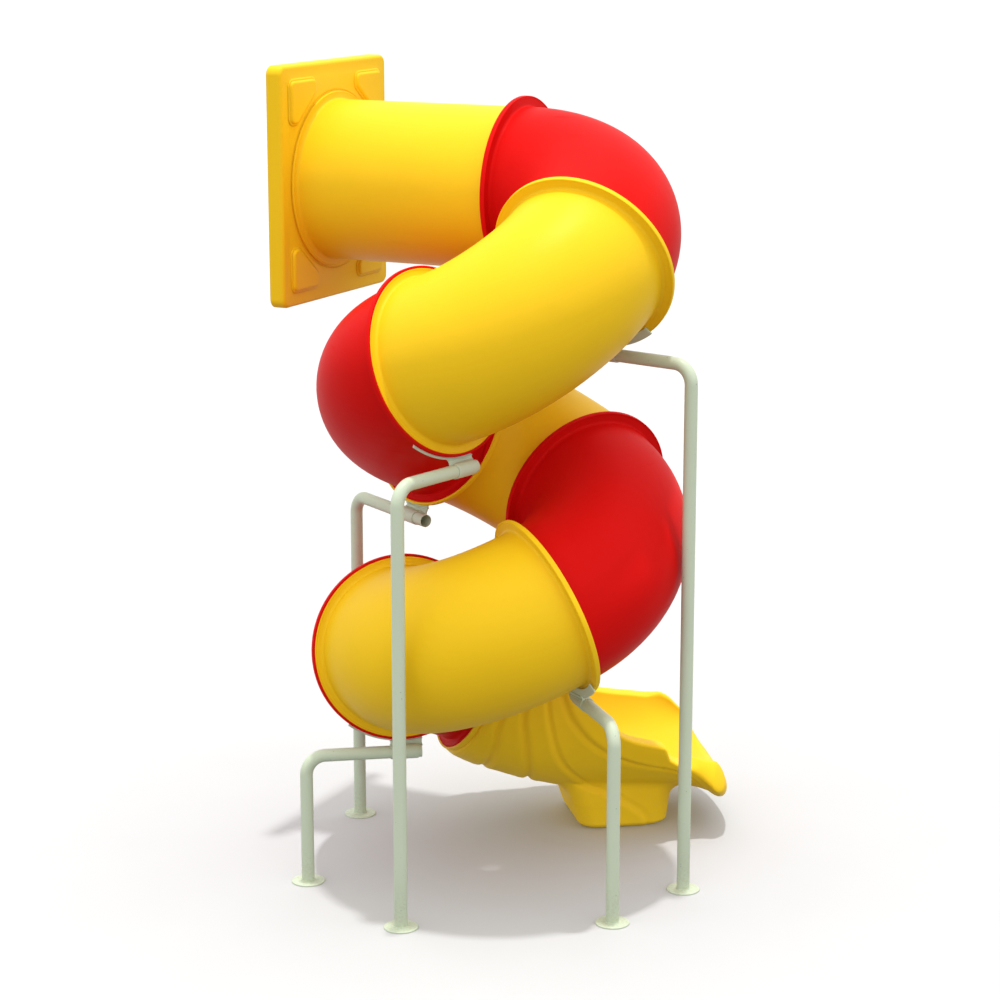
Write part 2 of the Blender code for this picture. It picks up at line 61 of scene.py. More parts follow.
# Fits and tube sections, as in the part
GAP = 0.0003
JOINT_GAP = GAP / 2
TUBE_RADIUS = 0.385
BORE_RADIUS = 0.377
FLANGE_RADIUS = 0.424
SOCKET_RADIUS = 0.436
SOCKET_LIP = 0.012
FLANGE_THICKNESS = 0.012
PANEL_COLLAR_RADIUS = 0.424

# Elbows: how far each one dips below the level as it turns right, from the top down
ELBOW_SWEEP = radians(91.7)
BEND_RADIUS = 0.526
CUFF = 0.024
ELBOW_DIPS = tuple(radians(dip) for dip in (25.6, 22.2, 22.4, 18.6, 22.7, 8.7, 22.3))
ELBOW_LENGTH = 2 * CUFF + BEND_RADIUS * ELBOW_SWEEP
ENTRY_HEIGHT = 3.172
ENTRY_LENGTH = 1.014

# Entry panel
PANEL_WIDTH = 1.010
PANEL_HEIGHT = 1.142
PANEL_THICKNESS = 0.082
PANEL_CORNER = 0.045
PAD_HEIGHT = 0.018
PAD_LENGTH = 0.235
PAD_DROP = 0.200
PAD_CUT = 0.060
PAD_MARGIN = 0.074

# Posts: joint number, reach outboard of it, arm past its centre, arm's swing downstream
POSTS = (
    (2, 0.490, -0.020, radians(11)),
    (3, 0.475, 0.070, radians(-2.3)),
    (4, 0.525, 0.125, radians(7.4)),
    (6, 0.426, 0.085, radians(5.5)),
    (7, 0.475, 0.067, radians(9.7)),
)
POST_RADIUS = 0.030
POST_WALL = 0.0026
POST_BEND = 0.090
ARM_DROP = 0.071
FOOT_RADIUS = 0.078
FOOT_THICKNESS = 0.008
SADDLE_THICKNESS = 0.008
SADDLE_INNER = 0.404
SADDLE_OUTER = 0.445
SADDLE_START = radians(-10)
SADDLE_END = radians(38.5)
WEB_WIDTH = 0.159
WEB_WAIST = 0.152
SLEEVE_WALL = 0.004
SLEEVE_LENGTH = 0.130
SLEEVE_SHIFT = 0.015
PLATE_MIDDLE = FLANGE_THICKNESS + GAP + SADDLE_THICKNESS / 2

# Exit chute: every run is a level distance along its path from the last joint
CHUTE_COLLAR_RADIUS = SOCKET_RADIUS
CHUTE_STRAIGHT = 0.100
CHUTE_SAG_RADIUS = 2.100
CHUTE_TURN = radians(5)
CHUTE_TURN_LENGTH = 0.800
CHUTE_TURN_RADIUS = CHUTE_TURN_LENGTH / CHUTE_TURN
LIP_START = 1.000
LIP_RADIUS = 0.450
LIP_LENGTH = 0.210
LIP_HALF_WIDTH = 0.474
LIP_BOW = 0.050
LIP_CORNER = 0.105
FLATTEN_START = 0.600
FLATTEN_END = 1.210
FLATTEN_LEAST = 0.280
# Outside radius at each run, without its grooves
CHUTE_OUTSIDE = (
    (0.012, 0.436), (0.018, 0.446), (0.040, 0.455), (0.095, 0.463), (0.200, 0.467), (0.290, 0.474),
    (0.400, 0.478), (0.500, 0.484), (0.640, 0.484), (0.800, 0.478), (0.940, 0.474), (1.060, 0.474),
    (1.130, 0.478), (1.150, 0.478),
)
# Where the walls end: run, height of the right-hand wall, height of the left-hand wall
RIM_LINE = (
    (0.100, 1.400, 1.400), (0.200, 1.060, 0.960), (0.320, 0.860, 0.740), (0.470, 0.730, 0.620),
    (0.550, 0.645, 0.574), (0.640, 0.560, 0.544), (0.700, 0.530, 0.531), (0.750, 0.514, 0.520),
    (0.820, 0.497, 0.508), (0.870, 0.486, 0.501), (0.895, 0.420, 0.497), (0.930, 0.396, 0.491),
    (0.985, 0.370, 0.482), (1.030, 0.345, 0.467), (1.080, 0.312, 0.424), (1.141, 0.272, 0.336),
    (1.180, 0.258, 0.292), (1.240, 0.250, 0.270), (1.400, 0.240, 0.260),
)
# Grooves in the outside: run, degrees round from the underside
RING_GROOVES = (
    ((0.172, 0), (0.150, 33), (0.112, 54), (0.078, 68), (0.050, 90)),
    ((0.372, 0), (0.330, 32), (0.226, 63), (0.163, 80), (0.100, 110)),
)
SWEPT_GROOVE = ((0.720, 12), (0.660, 22), (0.519, 41), (0.412, 56), (0.315, 76), (0.260, 90), (0.205, 110))
RIM_GROOVE = (
    (0.250, 112), (0.363, 90), (0.424, 82), (0.503, 74), (0.605, 66.4), (0.704, 61.6),
    (0.816, 59), (0.926, 59), (1.005, 57), (1.100, 47), (1.170, 25), (1.200, 0),
)
# The foot under the run-out: height, front run, back run, half width
LEG_LEVELS = (
    (0.000, 0.505, 0.935, 0.225), (0.025, 0.492, 0.950, 0.242), (0.150, 0.452, 0.962, 0.262),
    (0.220, 0.425, 0.968, 0.266), (0.300, 0.400, 0.974, 0.266),
)
LEG_CORNER = 0.085
LEG_EDGE = 0.028
LEG_GROOVE = (
    (0.400, 0.300), (0.450, 0.268), (0.514, 0.242), (0.583, 0.215), (0.640, 0.190), (0.688, 0.165),
    (0.756, 0.120), (0.809, 0.080), (0.838, 0.040), (0.850, 0.000),
)

# The photograph's viewpoint, measured from the first joint's place on the ground
CAMERA_OFFSET = Vector((5.482, -11.215, 4.591))
CAMERA_TURN = (radians(76.845), 0, radians(26.557))
CAMERA_LENS = 95.63

# Weld ripples: the least and the most of their stated size, and the seed that picks it
WELD_LEAST = 0.88
WELD_MOST = 1.12
WELD_SEED = 5

# Where the hood starts to open, how soon it is open, and where the lip squares the walls' ends
HOOD_END = 0.045
HOOD_FADE = 0.075
SQUARE_START = 0.95
SQUARE_LENGTH = 0.12
ROLL_STEPS = 12
CORNER_STEPS = 8

# How blunt the rolled rim is over the hood, how much rounder and taller it gets at the lip
RIM_BLUNT = 3.6
RIM_ROUNDER = 1.6
RIM_TALLER = 0.016

# How far the bed is held up where the lip drops, and how late the lip's bow falls back
BED_HOLD = 1.3
BOW_POWER = 2.6

# Faces round the panel's bore, a foot plate and a foot weld; weld ripples over their plate
BORE_SIDES = 120
DISC_SIDES = 72
WELD_SIDES = 32
WELD_LIFT = 0.0006
MERGE_DISTANCE = 0.00002

# The stage: half the floor's width, where the light stands, and the sky's brighter side
FLOOR_HALF = 200.0
SUN_TOWARD = Vector((0, 0.04, 1))
SKY_LEAN = (0.04, -0.08, 0.0)

entry_low, entry_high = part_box("entry_tube")
ANCHOR = Vector((entry_high.x + JOINT_GAP, (entry_low.y + entry_high.y) / 2, 0))


class TubeSizes(bpy.types.PropertyGroup):
    """Flange and section sizes of the moulded tubes."""

    sides: bpy.props.IntProperty(
        name="Sides", description="Faces round a tube", default=96, min=24, max=160)
    bend_steps: bpy.props.IntProperty(
        name="Bend Steps", description="Faces along an elbow's bend", default=34, min=8, max=80)
    edge_radius: bpy.props.FloatProperty(
        name="Flange Edge", description="Radius of a flange's outer edges",
        default=0.0035, unit="LENGTH", subtype="DISTANCE")
    bead_depth: bpy.props.FloatProperty(
        name="Bead", description="How far the flange's bead stands over the valley behind it",
        default=0.0028, unit="LENGTH", subtype="DISTANCE")
    fillet: bpy.props.FloatProperty(
        name="Fillet", description="Radius between a flange and its tube",
        default=0.0145, unit="LENGTH", subtype="DISTANCE")


class PanelSizes(bpy.types.PropertyGroup):
    """Soft edges of the moulded entry panel."""

    front_edge: bpy.props.FloatProperty(
        name="Front Edge", description="Radius of the panel's edges on the tube's side",
        default=0.018, unit="LENGTH", subtype="DISTANCE")
    back_edge: bpy.props.FloatProperty(
        name="Back Edge", description="Radius of the panel's edges on the platform's side",
        default=0.008, unit="LENGTH", subtype="DISTANCE")
    pad_edge: bpy.props.FloatProperty(
        name="Pad Edge", description="Radius of a corner pad's edges",
        default=0.013, unit="LENGTH", subtype="DISTANCE")
    mouth_edge: bpy.props.FloatProperty(
        name="Mouth Edge", description="Radius of the bore's edge on the platform's side",
        default=0.014, unit="LENGTH", subtype="DISTANCE")
    collar_groove: bpy.props.FloatProperty(
        name="Collar Groove", description="Depth of the moulded groove round the tube's collar",
        default=0.005, unit="LENGTH", subtype="DISTANCE")


class ChuteSizes(bpy.types.PropertyGroup):
    """Grooves, rim and foot of the exit chute."""

    columns: bpy.props.IntProperty(
        name="Columns", description="Faces across the trough", default=200, min=60, max=240)
    row_length: bpy.props.FloatProperty(
        name="Row Length", description="Length of the faces along the trough",
        default=0.0075, unit="LENGTH", subtype="DISTANCE")
    groove_depth: bpy.props.FloatProperty(
        name="Groove Depth", description="Depth of the moulded grooves outside",
        default=0.014, unit="LENGTH", subtype="DISTANCE")
    groove_width: bpy.props.FloatProperty(
        name="Groove Width", description="Half width of the moulded grooves outside",
        default=0.013, unit="LENGTH", subtype="DISTANCE")
    side_recess: bpy.props.FloatProperty(
        name="Side Recess", description="How far the sides lie back between the swept groove and the rim",
        default=0.009, unit="LENGTH", subtype="DISTANCE")
    foot_fillet: bpy.props.FloatProperty(
        name="Foot Fillet", description="Radius between the foot and the trough",
        default=0.055, unit="LENGTH", subtype="DISTANCE")
    rim_roll: bpy.props.FloatProperty(
        name="Rim Roll", description="Height of the rounded top of the walls",
        default=0.014, unit="LENGTH", subtype="DISTANCE")
    nose_length: bpy.props.FloatProperty(
        name="Nose Length", description="How far the rounded nose stands past the trough",
        default=0.058, unit="LENGTH", subtype="DISTANCE")


class SteelSizes(bpy.types.PropertyGroup):
    """Pipes, plates and welds of the support posts."""

    pipe_sides: bpy.props.IntProperty(
        name="Pipe Sides", description="Faces round a pipe", default=48, min=16, max=96)
    plate_edge: bpy.props.FloatProperty(
        name="Plate Edge", description="Radius of the plates' edges",
        default=0.0014, unit="LENGTH", subtype="DISTANCE")
    weld_size: bpy.props.FloatProperty(
        name="Weld Size", description="Radius of a weld bead",
        default=0.0036, unit="LENGTH", subtype="DISTANCE")
    weld_pitch: bpy.props.FloatProperty(
        name="Weld Pitch", description="Distance between a weld bead's ripples",
        default=0.0030, unit="LENGTH", subtype="DISTANCE")


class SlideFinish(bpy.types.PropertyGroup):
    """Colours and sheen of the slide's finishes, and the stage's light."""

    yellow: bpy.props.FloatVectorProperty(
        name="Yellow", description="Pigment of the yellow mouldings", subtype="COLOR",
        size=3, min=0, max=1, default=(0.88, 0.55, 0.012))
    red: bpy.props.FloatVectorProperty(
        name="Red", description="Pigment of the red mouldings", subtype="COLOR",
        size=3, min=0, max=1, default=(0.62, 0.006, 0.005))
    cream: bpy.props.FloatVectorProperty(
        name="Cream", description="Powder coat of the posts and brackets", subtype="COLOR",
        size=3, min=0, max=1, default=(0.55, 0.62, 0.47))
    gloss: bpy.props.FloatProperty(
        name="Plastic Roughness", description="Roughness of clean moulded plastic",
        subtype="FACTOR", min=0, max=1, default=0.42)
    sunlight: bpy.props.FloatProperty(
        name="Sunlight", description="Strength of the light from overhead", min=0, default=1.85)
    skylight: bpy.props.FloatProperty(
        name="Skylight", description="Strength of the soft light from above", min=0, default=1.35)
    groundlight: bpy.props.FloatProperty(
        name="Ground Light", description="Strength of the soft light from below", min=0, default=0.44)


def is_vector(value):
    if isinstance(value, Wire):
        return value.socket.type in ("VECTOR", "RGBA")
    return isinstance(value, (tuple, Vector))


class Wire:
    """A node's output that can stand in an expression; each operation adds its node."""

    def __init__(self, graph, socket):
        self.graph = graph
        self.socket = socket

    def out(self, name):
        """Another output of the same node."""
        return Wire(self.graph, self.socket.node.outputs[name])

    def __add__(self, other):
        return self.graph.calc("ADD", self, other)

    def __sub__(self, other):
        return self.graph.calc("SUBTRACT", self, other)

    def __rsub__(self, other):
        return self.graph.calc("SUBTRACT", other, self)

    def __mul__(self, other):
        if is_vector(self) == is_vector(other):
            return self.graph.calc("MULTIPLY", self, other)
        vector, factor = (self, other) if is_vector(self) else (other, self)
        return self.graph.node("ShaderNodeVectorMath", {"operation": "SCALE"}, {0: vector, "Scale": factor})

    def __truediv__(self, other):
        return self.graph.calc("DIVIDE", self, other)

    __radd__ = __add__
    __rmul__ = __mul__


class Graph:
    """A node tree that is written as expressions."""

    def __init__(self, tree):
        self.tree = tree

    def node(self, kind, settings=None, sockets=None, output=0):
        """Add one node: its settings first, then a value or a link for each socket."""
        made = self.tree.nodes.new(kind)
        for name, value in (settings or {}).items():
            setattr(made, name, value)
        for name, value in (sockets or {}).items():
            self.feed(made, name, value)
        return Wire(self, made.outputs[output])

    def feed(self, node, name, value):
        if isinstance(value, Wire):
            self.tree.links.new(value.socket, node.inputs[name])
        else:
            node.inputs[name].default_value = value

    def calc(self, operation, *values):
        kind = "ShaderNodeVectorMath" if any(is_vector(value) for value in values) else "ShaderNodeMath"
        return self.node(kind, {"operation": operation}, dict(enumerate(values)))

    def noise(self, spot, scale, detail):
        return self.node("ShaderNodeTexNoise", None, {"Vector": spot, "Scale": scale, "Detail": detail})

    def bump(self, relief):
        return self.node("ShaderNodeBump", None, {"Height": relief, "Strength": 1.0, "Distance": 1.0})

    def step(self, value, low, high):
        """0 below low, 1 over high, smooth between."""
        sockets = {"Value": value, "From Min": low, "From Max": high}
        return self.node("ShaderNodeMapRange", {"interpolation_type": "SMOOTHSTEP"}, sockets)

    def tint(self, factor, first, second):
        """Mix two colours."""
        colours = {0: factor, 6: (*first, 1) if isinstance(first, tuple) else first}
        colours[7] = (*second, 1) if isinstance(second, tuple) else second
        return self.node("ShaderNodeMix", {"data_type": "RGBA"}, colours, 2)


def scaled(colour, factor):
    return tuple(min(part * factor, 1) for part in colour)


def new_finish(name):
    """An empty material, with its graph, its shader and the place on the piece."""
    material = bpy.data.materials.new(name)
    material.use_nodes = True
    graph = Graph(material.node_tree)
    spot = graph.node("ShaderNodeTexCoord", output="Object")
    return material, graph, material.node_tree.nodes["Principled BSDF"], spot


def moulded_plastic(name, colour, roughness, mirror):
    """Moulded plastic: cloudy pigment, orange-peel skin, broad waves, dust and scuffs low down, and rubbed
    roughness with a patchy painted highlight on flagged flange edges and rim rolls.
    """
    material, graph, shader, spot = new_finish(name)
    height = graph.node("ShaderNodeSeparateXYZ", None, {0: spot}, "Z")
    wear_and_highlight = graph.node("ShaderNodeAttribute", {"attribute_name": "wear_and_highlight"}, output="Fac")
    slide = graph.node("ShaderNodeAttribute", {"attribute_name": "slide"}, output="Fac")
    cloud = graph.noise(spot, 2.6, 3.0)
    mottle = graph.noise(spot, 38.0, 4.0)
    pigment = graph.tint(cloud * 0.7 + mottle * 0.3, scaled(colour, 0.95), scaled(colour, 1.04))
    streaks = graph.noise(spot * (5.0, 5.0, 55.0), 1.0, 5.0)
    scuff = graph.step(streaks, 0.60, 0.74) * graph.step(cloud, 0.42, 0.60)
    dust = graph.step(height, 0.45, 0.0) * graph.step(mottle, 0.35, 0.75)
    pigment = graph.tint(scuff * 0.10, pigment, scaled(colour, 0.78))
    # Painted highlight: flagged flange edges and rim rolls get patchy lighter pigment; only their added
    # roughness stands for rubbing.
    pigment = graph.tint(wear_and_highlight * mottle * 0.30, pigment, scaled(colour, 1.20))
    pigment = graph.tint(dust * 0.05, pigment, (0.36, 0.30, 0.20))
    sheen = roughness + cloud * 0.05 + scuff * 0.16 + dust * 0.08 + wear_and_highlight * mottle * 0.10 - slide * 0.05
    peel = graph.noise(spot, 210.0, 2.0)
    waves = graph.noise(spot, 6.5, 1.0)
    relief = peel * 0.00007 + waves * 0.0022 - scuff * 0.00003
    graph.feed(shader, "Base Color", pigment)
    graph.feed(shader, "Roughness", sheen)
    graph.feed(shader, "Normal", graph.bump(relief))
    shader.inputs["Specular IOR Level"].default_value = mirror
    return material


def powder_coat(name, colour):
    """Sprayed coat on steel: fine texture, chips on rubbed edges, grime near the ground."""
    material, graph, shader, spot = new_finish(name)
    height = graph.node("ShaderNodeSeparateXYZ", None, {0: spot}, "Z")
    cloud = graph.noise(spot, 5.0, 4.0)
    fine = graph.noise(spot, 90.0, 3.0)
    skin = graph.noise(spot, 520.0, 2.0)
    coat = graph.tint(cloud * 0.6 + fine * 0.4, scaled(colour, 0.94), scaled(colour, 1.05))
    grime = graph.step(height, 0.30, 0.0) * graph.step(fine, 0.35, 0.70)
    coat = graph.tint(grime * 0.28, coat, (0.40, 0.36, 0.22))
    chips = graph.step(graph.noise(spot, 60.0, 6.0), 0.705, 0.73)
    coat = graph.tint(chips * 0.55, coat, (0.20, 0.19, 0.17))
    relief = skin * 0.00004 + fine * 0.00006 - chips * 0.00010
    graph.feed(shader, "Base Color", coat)
    graph.feed(shader, "Roughness", 0.36 + cloud * 0.08 + grime * 0.25 + chips * 0.12)
    graph.feed(shader, "Normal", graph.bump(relief))
    shader.inputs["Specular IOR Level"].default_value = 0.25
    return material


def new_tree(name, inputs):
    """A node tree with its named inputs: the tree, its graph and its input node."""
    tree = bpy.data.node_groups.new(name, "GeometryNodeTree")
    for title, kind in inputs.items():
        tree.interface.new_socket(title, in_out="INPUT", socket_type="NodeSocket" + kind)
    tree.interface.new_socket("Piece", in_out="OUTPUT", socket_type="NodeSocketGeometry")
    graph = Graph(tree)
    return tree, graph, graph.node("NodeGroupInput")


def close_tree(graph, piece, finish):
    """End a tree with real geometry that is smooth and has its finish."""
    piece = graph.node("GeometryNodeSetShadeSmooth", None, {"Geometry": piece, "Shade Smooth": True})
    piece = graph.node("GeometryNodeRealizeInstances", None, {"Geometry": piece})
    piece = graph.node("GeometryNodeSetMaterial", None, {"Geometry": piece, "Material": finish})
    graph.feed(graph.tree.nodes.new("NodeGroupOutput"), "Piece", piece)


def bent_tube_tree():
    """Sweep a section, given as distance, radius and a flag for rubbing and painted highlight, along a
    straight, a bend and a straight.
    """
    inputs = {
        "Section": "Geometry", "Sides": "Int", "Start": "Vector", "Along": "Vector",
        "Inward": "Vector", "Lead": "Float", "Bend Radius": "Float", "Sweep": "Float",
        "Finish": "Material",
    }
    tree, graph, given = new_tree("bent_tube", inputs)
    section = given.out("Section")
    sides = given.out("Sides")
    along = given.out("Along")
    inward = given.out("Inward")
    lead = given.out("Lead")
    bend = given.out("Bend Radius")
    sweep = given.out("Sweep")
    rows = graph.node("GeometryNodeAttributeDomainSize", {"component": "MESH"}, {"Geometry": section})
    sizes = {"Size X": rows, "Size Y": sides, "Vertices X": rows + 1, "Vertices Y": sides + 1}
    grid = graph.node("GeometryNodeMeshGrid", None, sizes)
    place = graph.node("GeometryNodeInputPosition")
    cell = graph.node("ShaderNodeSeparateXYZ", None, {0: place})
    row = graph.calc("ROUND", cell + rows / 2)
    angle = (cell.out("Y") / sides + 0.5) * (2 * pi)
    sampled = {"Geometry": section, "Value": place, "Index": graph.calc("MODULO", row, rows)}
    spot = graph.node("GeometryNodeSampleIndex", {"data_type": "FLOAT_VECTOR", "domain": "POINT"}, sampled)
    distance = graph.node("ShaderNodeSeparateXYZ", None, {0: spot})
    radius = distance.out("Y")
    turned = graph.calc("MINIMUM", graph.calc("MAXIMUM", (distance - lead) / bend, 0.0), sweep)
    after = graph.calc("MAXIMUM", distance - lead - bend * sweep, 0.0)
    cosine = graph.calc("COSINE", turned)
    sine = graph.calc("SINE", turned)
    heading = along * cosine + inward * sine
    side = inward * cosine - along * sine
    centre = given.out("Start") + along * graph.calc("MINIMUM", distance, lead) + heading * after
    centre = centre + along * (sine * bend) + inward * ((1 - cosine) * bend)
    across = graph.calc("CROSS_PRODUCT", along, inward)
    ring = side * (radius * graph.calc("COSINE", angle)) + across * (radius * graph.calc("SINE", angle))
    # Stores the section's flag for rubbing and painted edge highlight.
    worn_and_highlit = {"Geometry": grid, "Name": "wear_and_highlight", "Value": distance.out("Z")}
    tube = graph.node("GeometryNodeStoreNamedAttribute", {"data_type": "FLOAT", "domain": "POINT"}, worn_and_highlit)
    tube = graph.node("GeometryNodeSetPosition", None, {"Geometry": tube, "Position": centre + ring})
    tube = graph.node("GeometryNodeMergeByDistance", None, {"Geometry": tube, "Distance": MERGE_DISTANCE})
    close_tree(graph, tube, given.out("Finish"))
    return tree


def weld_tree():
    """Overlapping ripples of weld metal along each edge path."""
    inputs = {
        "Paths": "Geometry", "Size": "Float", "Pitch": "Float", "Seed": "Int", "Finish": "Material",
    }
    tree, graph, given = new_tree("weld_bead", inputs)
    curve = graph.node("GeometryNodeMeshToCurve", None, {"Mesh": given.out("Paths")})
    spaced = {"Curve": curve, "Length": given.out("Pitch")}
    curve = graph.node("GeometryNodeResampleCurve", {"mode": "LENGTH"}, spaced)
    ripple = graph.node("GeometryNodeMeshIcoSphere", None, {"Radius": given.out("Size"), "Subdivisions": 2})
    tangent = graph.node("GeometryNodeInputTangent")
    turned = graph.node("FunctionNodeAlignRotationToVector", {"axis": "Z"}, {"Vector": tangent})
    swing = {2: WELD_LEAST, 3: WELD_MOST, "Seed": given.out("Seed")}
    grown = graph.node("FunctionNodeRandomValue", {"data_type": "FLOAT"}, swing, 1)
    placed = {"Points": curve, "Instance": ripple, "Rotation": turned, "Scale": grown}
    beads = graph.node("GeometryNodeInstanceOnPoints", None, placed)
    close_tree(graph, beads, given.out("Finish"))
    return tree


def shared_tree(name, make):
    return bpy.data.node_groups.get(name) or make()


def shared_finish(name, make, *values):
    return bpy.data.materials.get(name) or make(name, *values)


def yellow_plastic():
    look = bpy.context.scene.slide_finish
    return shared_finish("yellow_moulding", moulded_plastic, tuple(look.yellow), look.gloss, 0.10)


def red_plastic():
    look = bpy.context.scene.slide_finish
    return shared_finish("red_moulding", moulded_plastic, tuple(look.red), look.gloss, 0.03)


def cream_coat():
    return shared_finish("cream_coat", powder_coat, tuple(bpy.context.scene.slide_finish.cream))


def link(name, mesh):
    placed = bpy.data.objects.new(name, mesh)
    bpy.context.scene.collection.objects.link(placed)
    return placed


def face_outwards(mesh):
    """Turn a closed mesh the right way out by its signed volume."""
    bm = bmesh.new()
    bm.from_mesh(mesh)
    if bm.calc_volume(signed=True) < 0:
        bmesh.ops.reverse_faces(bm, faces=bm.faces)
        bm.to_mesh(mesh)
    bm.free()


def grow(name, seed_mesh, tree, values):
    """Run a Geometry Nodes tree on a small mesh and keep the result as a plain piece."""
    source = bpy.data.objects.new(name + "_source", seed_mesh)
    modifier = source.modifiers.new(tree.name, "NODES")
    modifier.node_group = tree
    for item in tree.interface.items_tree:
        if item.in_out == "INPUT" and item.name in values:
            modifier[item.identifier] = values[item.name]
    bpy.context.scene.collection.objects.link(source)
    depsgraph = bpy.context.evaluated_depsgraph_get()
    mesh = bpy.data.meshes.new_from_object(source.evaluated_get(depsgraph))
    mesh.name = name
    source.modifiers.clear()
    bpy.data.objects.remove(source, do_unlink=True)
    if not mesh.polygons:
        raise RuntimeError(f"{name} came out empty")
    return link(name, mesh)


def bent_tube(name, section, start, along, inward, finish, lead=10.0, sweep=0.0, bend=1.0, sides=96):
    """A tube whose wall section is a loop of distance, radius and a flag for rubbing and painted highlight.
    """
    mesh = bpy.data.meshes.new(name + "_section")
    mesh.from_pydata([Vector(point) for point in section], [], [])
    values = {
        "Sides": sides, "Start": tuple(start), "Along": tuple(along), "Inward": tuple(inward),
        "Lead": lead, "Bend Radius": bend, "Sweep": sweep, "Finish": finish,
    }
    piece = grow(name, mesh, shared_tree("bent_tube", bent_tube_tree), values)
    face_outwards(piece.data)
    return piece


def settle(piece, slot, *nodes):
    """Hand a finished piece to the frame."""
    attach(piece, "root")
    if nodes:
        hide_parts(*nodes)


def arc(centre_x, centre_y, radius, start, end, steps=5):
    """Points of an arc between two angles in degrees."""
    angles = [radians(start + (end - start) * step / steps) for step in range(steps + 1)]
    return [(centre_x + radius * cos(angle), centre_y + radius * sin(angle)) for angle in angles]


def circle(centre_x, centre_y, radius, steps):
    """Points round a full circle."""
    turns = [2 * pi * step / steps for step in range(steps)]
    return [(centre_x + radius * cos(turn), centre_y + radius * sin(turn)) for turn in turns]


def flange_section(sizes, radius, lip=0.0):
    """A flange from its bore out, over its bead and valley, and down the fillet to the tube.

    A lip reaches back over the narrower flange before it."""
    edge = sizes.edge_radius
    back = FLANGE_THICKNESS
    valley = back - sizes.bead_depth
    foot = radius - FLANGE_RADIUS + TUBE_RADIUS + sizes.fillet
    # The outer edge and bead points are flagged for rubbing roughness and a painted highlight.
    if lip:
        seat = FLANGE_RADIUS + 2 * GAP
        worn_and_highlit = [(JOINT_GAP, seat), (0.002 - lip, seat), (-lip, seat + 0.002)]
        worn_and_highlit += arc(edge - lip, radius - edge, edge, 180, 90)
    else:
        worn_and_highlit = [(JOINT_GAP, radius - 2 * edge)]
        worn_and_highlit += arc(JOINT_GAP + edge, radius - edge, edge, 180, 90)
    worn_and_highlit += arc(back - edge, radius - edge, edge, 90, 0)
    worn_and_highlit += [(back - 0.0004, radius - edge - 0.0018)]
    plain = [(valley + 0.0008, radius - edge - 0.0042), (valley, radius - edge - 0.0075)]
    plain += [(valley, (radius + foot) / 2), (valley, TUBE_RADIUS + sizes.fillet + 0.002)]
    plain += arc(valley + sizes.fillet, TUBE_RADIUS + sizes.fillet, sizes.fillet, 180, 270, 7)
    plain += [(valley + sizes.fillet + 0.003, TUBE_RADIUS)]
    return [(s, r, 1.0) for s, r in worn_and_highlit] + [(s, r, 0.0) for s, r in plain]


def downhill_axes(along):
    """The level direction to the right of a heading, and the way down square to both."""
    right = along.cross(UP).normalized()
    return right, along.cross(right).normalized()


class Elbow:
    """A planar bend with a straight cuff at each end, placed from its start joint."""

    def __init__(self, start, along, dip):
        right, down = downhill_axes(along)
        self.start = start
        self.along = along
        self.inward = right * cos(dip) + down * sin(dip)
        self.finish_along = along * cos(ELBOW_SWEEP) + self.inward * sin(ELBOW_SWEEP)
        reach = along * sin(ELBOW_SWEEP) + self.inward * (1 - cos(ELBOW_SWEEP))
        self.finish = start + (along + self.finish_along) * CUFF + reach * BEND_RADIUS


def elbow_chain():
    start = ANCHOR + UP * ENTRY_HEIGHT
    along = Vector((1, 0, 0))
    chain = []
    for dip in ELBOW_DIPS:
        elbow = Elbow(start, along, dip)
        chain.append(elbow)
        start = elbow.finish
        along = elbow.finish_along
    return chain


def make_elbow(number, elbow, sizes):
    colour_name, finish = ("red", red_plastic()) if number % 2 else ("yellow", yellow_plastic())
    flange = flange_section(sizes, FLANGE_RADIUS)
    socket = flange_section(sizes, SOCKET_RADIUS, SOCKET_LIP)
    steps = sizes.bend_steps
    bend = [CUFF + 0.010 + (ELBOW_LENGTH - 2 * CUFF - 0.020) * step / steps for step in range(steps + 1)]
    section = socket + [(distance, TUBE_RADIUS, 0.0) for distance in bend]
    section += [(ELBOW_LENGTH - s, r, worn_and_highlit) for s, r, worn_and_highlit in reversed(flange)]
    section += [(ELBOW_LENGTH - JOINT_GAP, BORE_RADIUS, 0.0)]
    section += [(distance, BORE_RADIUS, 0.0) for distance in reversed(bend[::2])]
    section += [(JOINT_GAP, BORE_RADIUS, 0.0)]
    name = f"elbow_{number}"
    piece = bent_tube(
        name + "_moulding", section, elbow.start, elbow.along, elbow.inward, finish,
        lead=CUFF, sweep=ELBOW_SWEEP, bend=BEND_RADIUS, sides=sizes.sides)
    settle(piece, colour_name + "_plastic", f"{name}_{colour_name}")


def make_entry_tube(sizes):
    start = ANCHOR + Vector((-ENTRY_LENGTH, 0, ENTRY_HEIGHT))
    collar = flange_section(sizes, PANEL_COLLAR_RADIUS)
    flange = flange_section(sizes, FLANGE_RADIUS)
    wall = [(ENTRY_LENGTH * step / 8, TUBE_RADIUS, 0.0) for step in range(1, 8)]
    section = collar + wall + [(ENTRY_LENGTH - s, r, worn_and_highlit) for s, r, worn_and_highlit in reversed(flange)]
    section += [(ENTRY_LENGTH - JOINT_GAP, BORE_RADIUS, 0.0)]
    section += [(s, BORE_RADIUS, 0.0) for s, _, _ in reversed(wall)]
    section += [(JOINT_GAP, BORE_RADIUS, 0.0)]
    piece = bent_tube(
        "entry_tube_moulding", section, start, (1, 0, 0), (0, 0, 1), yellow_plastic(), sides=sizes.sides)
    settle(piece, "yellow_plastic", "entry_tube")


